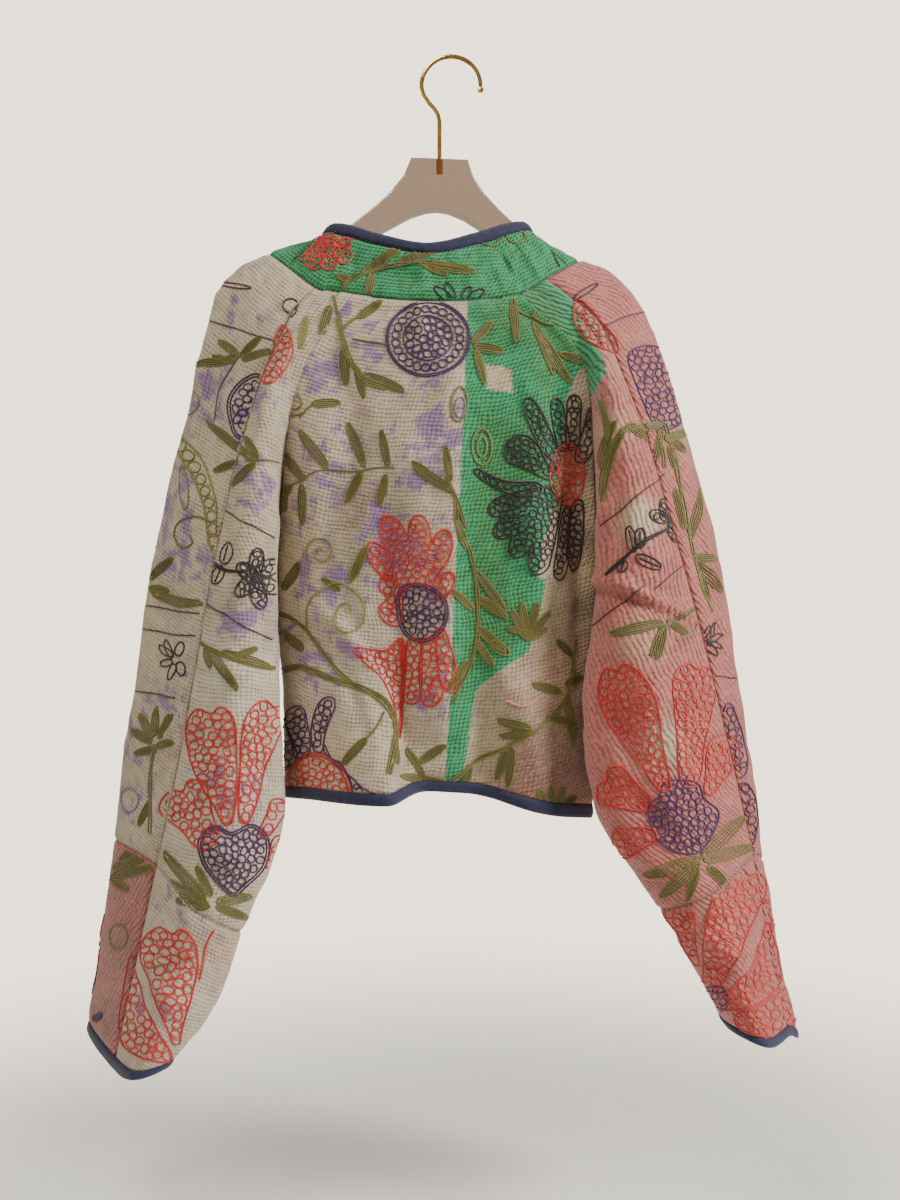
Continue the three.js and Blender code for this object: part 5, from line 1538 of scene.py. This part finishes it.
def stitch_tree():
    """Mesh edges become lines of chain stitch: tubes that swell and narrow with each stitch."""
    tree = bpy.data.node_groups.new("chain stitch", "GeometryNodeTree")
    tree.interface.new_socket("Geometry", in_out="INPUT", socket_type="NodeSocketGeometry")
    for label in ("Stitch length", "Thread radius", "Step"):
        tree.interface.new_socket(label, in_out="INPUT", socket_type="NodeSocketFloat")
    tree.interface.new_socket("Sides", in_out="INPUT", socket_type="NodeSocketInt")
    tree.interface.new_socket("Finish", in_out="INPUT", socket_type="NodeSocketMaterial")
    tree.interface.new_socket("Geometry", in_out="OUTPUT", socket_type="NodeSocketGeometry")

    def add(kind, settings=(), inputs=()):
        made = tree.nodes.new(kind)
        for key, value in dict(settings).items():
            setattr(made, key, value)
        for key, value in dict(inputs).items():
            if hasattr(value, "is_linked"):
                tree.links.new(value, made.inputs[key])
            else:
                made.inputs[key].default_value = value
        return made

    def maths(operation, a, b=0.0):
        return add("ShaderNodeMath", {"operation": operation}, {0: a, 1: b}).outputs[0]

    given = add("NodeGroupInput").outputs
    lines = add("GeometryNodeMeshToCurve", {}, {"Mesh": given["Geometry"]}).outputs["Curve"]
    even = add("GeometryNodeResampleCurve", {"mode": "LENGTH"},
               {"Curve": lines, "Length": given["Step"]}).outputs["Curve"]
    length = add("GeometryNodeSplineParameter").outputs["Length"]
    girth = add("GeometryNodeInputNamedAttribute", {"data_type": "FLOAT"}, {"Name": "girth"}).outputs[0]
    stitches = maths("DIVIDE", length, given["Stitch length"])
    wave = maths("ABSOLUTE", maths("SINE", maths("MULTIPLY", stitches, math.pi)))
    swollen = maths("ADD", maths("MULTIPLY", wave, SWELL), SLIM)
    radius = maths("MULTIPLY", maths("MULTIPLY", swollen, girth), given["Thread radius"])
    sized = add("GeometryNodeSetCurveRadius", {}, {"Curve": even, "Radius": radius}).outputs[0]
    section = add("GeometryNodeCurvePrimitiveCircle", {"mode": "RADIUS"},
                  {"Resolution": given["Sides"], "Radius": 1.0})
    tube = add("GeometryNodeCurveToMesh", {}, {"Curve": sized, "Profile Curve": section.outputs["Curve"]})
    if "Scale" in tube.inputs:
        tree.links.new(radius, tube.inputs["Scale"])
    soft = add("GeometryNodeSetShadeSmooth", {}, {"Geometry": tube.outputs[0]}).outputs[0]
    real = add("GeometryNodeRealizeInstances", {}, {"Geometry": soft}).outputs[0]
    done = add("GeometryNodeSetMaterial", {}, {"Geometry": real, "Material": given["Finish"]}).outputs[0]
    tree.links.new(done, add("NodeGroupOutput").inputs["Geometry"])
    return tree


def grow(mesh, name, tree, values):
    """The mesh that a node tree makes from the given one, as a plain object."""
    source = bpy.data.objects.new(name + "_lines", mesh)
    bpy.context.scene.collection.objects.link(source)
    modifier = source.modifiers.new("stitches", "NODES")
    modifier.node_group = tree
    for item in tree.interface.items_tree:
        if item.in_out == "INPUT" and item.name in values:
            modifier[item.identifier] = values[item.name]
    bpy.context.view_layer.update()
    result = bpy.data.meshes.new_from_object(source.evaluated_get(bpy.context.evaluated_depsgraph_get()))
    source.modifiers.remove(modifier)
    bpy.data.objects.remove(source)
    made = bpy.data.objects.new(name, result)
    bpy.context.scene.collection.objects.link(made)
    return made


LONGEST_STEP, THREAD_LIFT = 8, 0.35
DARKEST, LIGHTEST = 0.88, 1.14  # how far the dye varies from one stroke to the next


def sewn_lines(name, sewn):
    """A piece's strokes as a mesh of edges, with each point's dye, girth and place on the flat cloth."""
    points, edges, dyes, girths, flats = [], [], [], [], []
    for path, dye, girth, by_measure in sewn:
        at, good = place_on(name, path, by_measure)
        place = at_places(shell[name]["grid"], at) + at_places(shell[name]["normal"], at) * THREAD_LIFT
        flat = at_places(shell[name]["flat"], at)
        colour = rgb(dye) * jitter.uniform(DARKEST, LIGHTEST)
        before = None
        for p, f, lies_on_it in zip(place, flat, good):
            if not lies_on_it:
                before = None
                continue
            points.append(p * MM)
            flats.append((*f, 0))
            dyes.append((*colour, 1))
            girths.append(girth)
            if before is not None and np.linalg.norm(p - before) < LONGEST_STEP:
                edges.append((len(points) - 2, len(points) - 1))
            before = p
    if not edges:
        return None
    mesh = bpy.data.meshes.new(name + "_embroidery")
    mesh.from_pydata([tuple(p) for p in points], edges, [])
    store(mesh, "dye", "FLOAT_COLOR", "color", dyes)
    store(mesh, "girth", "FLOAT", "value", girths)
    store(mesh, "flat", "FLOAT_VECTOR", "vector", flats)
    return mesh


chain_stitch = stitch_tree()
THREAD = {"Stitch length": 0.0034, "Thread radius": 0.00105, "Step": 0.00125, "Sides": 4,
          "Finish": materials["thread"]}
for name, sewn in strokes.items():
    lines = sewn_lines(name, sewn)
    if lines is None:
        continue
    made = grow(lines, name + "_embroidery", chain_stitch, THREAD)
    threads[name] = [made]
    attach(made, "root")

# ---------------------------------------------------------------- light, floor, camera
for node, slot in (("hanger_plate", "acrylic_smoky"), ("hanger_hook", "brass"), ("hook_ferrule", "brass")):
    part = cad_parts[node]
    part.data.materials.clear()
    part.data.materials.append(materials[slot])

FLOOR_HEIGHT, FLOOR_SIZE, FADED_AT, SOLID_AT = -1.05, 2.4, 1.1, 0.35
STUDIO, BACKDROP = 0.31, 2.8


def pale_floor():
    """A plain floor that fades out before its edges."""
    finish = Finish("pale floor", Roughness=0.9)
    finish.paint((0.78, 0.77, 0.75))
    middle = finish.node("ShaderNodeTexCoord", {}, out=3)
    reach = finish.node("ShaderNodeVectorMath", {"operation": "LENGTH"}, {0: middle}, out=1)
    finish.feed("Alpha", finish.between(reach, FADED_AT, SOLID_AT))
    bpy.ops.mesh.primitive_plane_add(size=FLOOR_SIZE, location=(0, 0, FLOOR_HEIGHT))
    floor = bpy.context.object
    floor.name = "floor"
    floor.data.materials.append(finish.material)


def studio_world():
    """A soft warm light from all round, and a brighter plain backdrop past the jacket."""
    world = bpy.data.worlds.new("studio")
    bpy.context.scene.world = world
    world.use_nodes = True
    backdrop = world.node_tree.nodes["Background"]
    backdrop.inputs["Color"].default_value = (1.0, 0.90, 0.72, 1)
    path = world.node_tree.nodes.new("ShaderNodeLightPath")
    level = world.node_tree.nodes.new("ShaderNodeMapRange")
    level.inputs["To Min"].default_value = STUDIO
    level.inputs["To Max"].default_value = BACKDROP
    world.node_tree.links.new(path.outputs["Is Camera Ray"], level.inputs["Value"])
    world.node_tree.links.new(level.outputs["Result"], backdrop.inputs["Strength"])


def area_light(name, place, aim, size, power, colour):
    light = bpy.data.lights.new(name, "AREA")
    light.shape, light.size, light.energy, light.color = "DISK", size, power, colour
    made = bpy.data.objects.new(name, light)
    made.location = place
    made.rotation_euler = (Vector(aim) - Vector(place)).to_track_quat("-Z", "Y").to_euler()
    bpy.context.scene.collection.objects.link(made)


def camera_at_eye():
    """A level camera whose frame is the view grid."""
    camera = bpy.data.cameras.new("camera")
    camera.sensor_width = 36
    camera.lens = camera.sensor_width * -EYE[1] / (VIEW_HIGH * VIEW_MM)
    view = bpy.data.objects.new("camera", camera)
    view.location = EYE * MM
    view.rotation_euler = (math.pi / 2, 0, 0)
    bpy.context.scene.collection.objects.link(view)
    bpy.context.scene.camera = view


pale_floor()
studio_world()
# name, place, what it is aimed at, size, power and colour
area_light("key", (1.98, -0.78, 0.28), (0, 0, -0.45), 0.62, 68, (1.0, 0.97, 0.93))
area_light("top", (-0.6, -0.9, 1.3), (0, 0, -0.4), 0.8, 21, (1.0, 0.96, 0.88))
area_light("fill", (-1.5, -1.3, -0.3), (0, 0, -0.5), 1.5, 7, (1.0, 0.95, 0.86))
area_light("back", (-0.6, 1.7, 0.5), (0, 0, -0.45), 1.2, 34, (1.0, 0.98, 0.95))
camera_at_eye()

# ---------------------------------------------------------------- each piece hangs from the root, and the CAD part it stands for is hidden
TRIMS = {
    "back": "hem_binding", "neck_band_back": "neck_binding",
    "sleeve_left_lower_back": "cuff_binding_left", "sleeve_right_lower_back": "cuff_binding_right",
}


for name, piece in pieces.items():
    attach(piece, "root")
    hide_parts(name)
for name in (name for name in pieces if name not in BINDINGS):
    trims = [pieces[TRIMS[name]]] if name in TRIMS else []
    threads.get(name, []) + trims
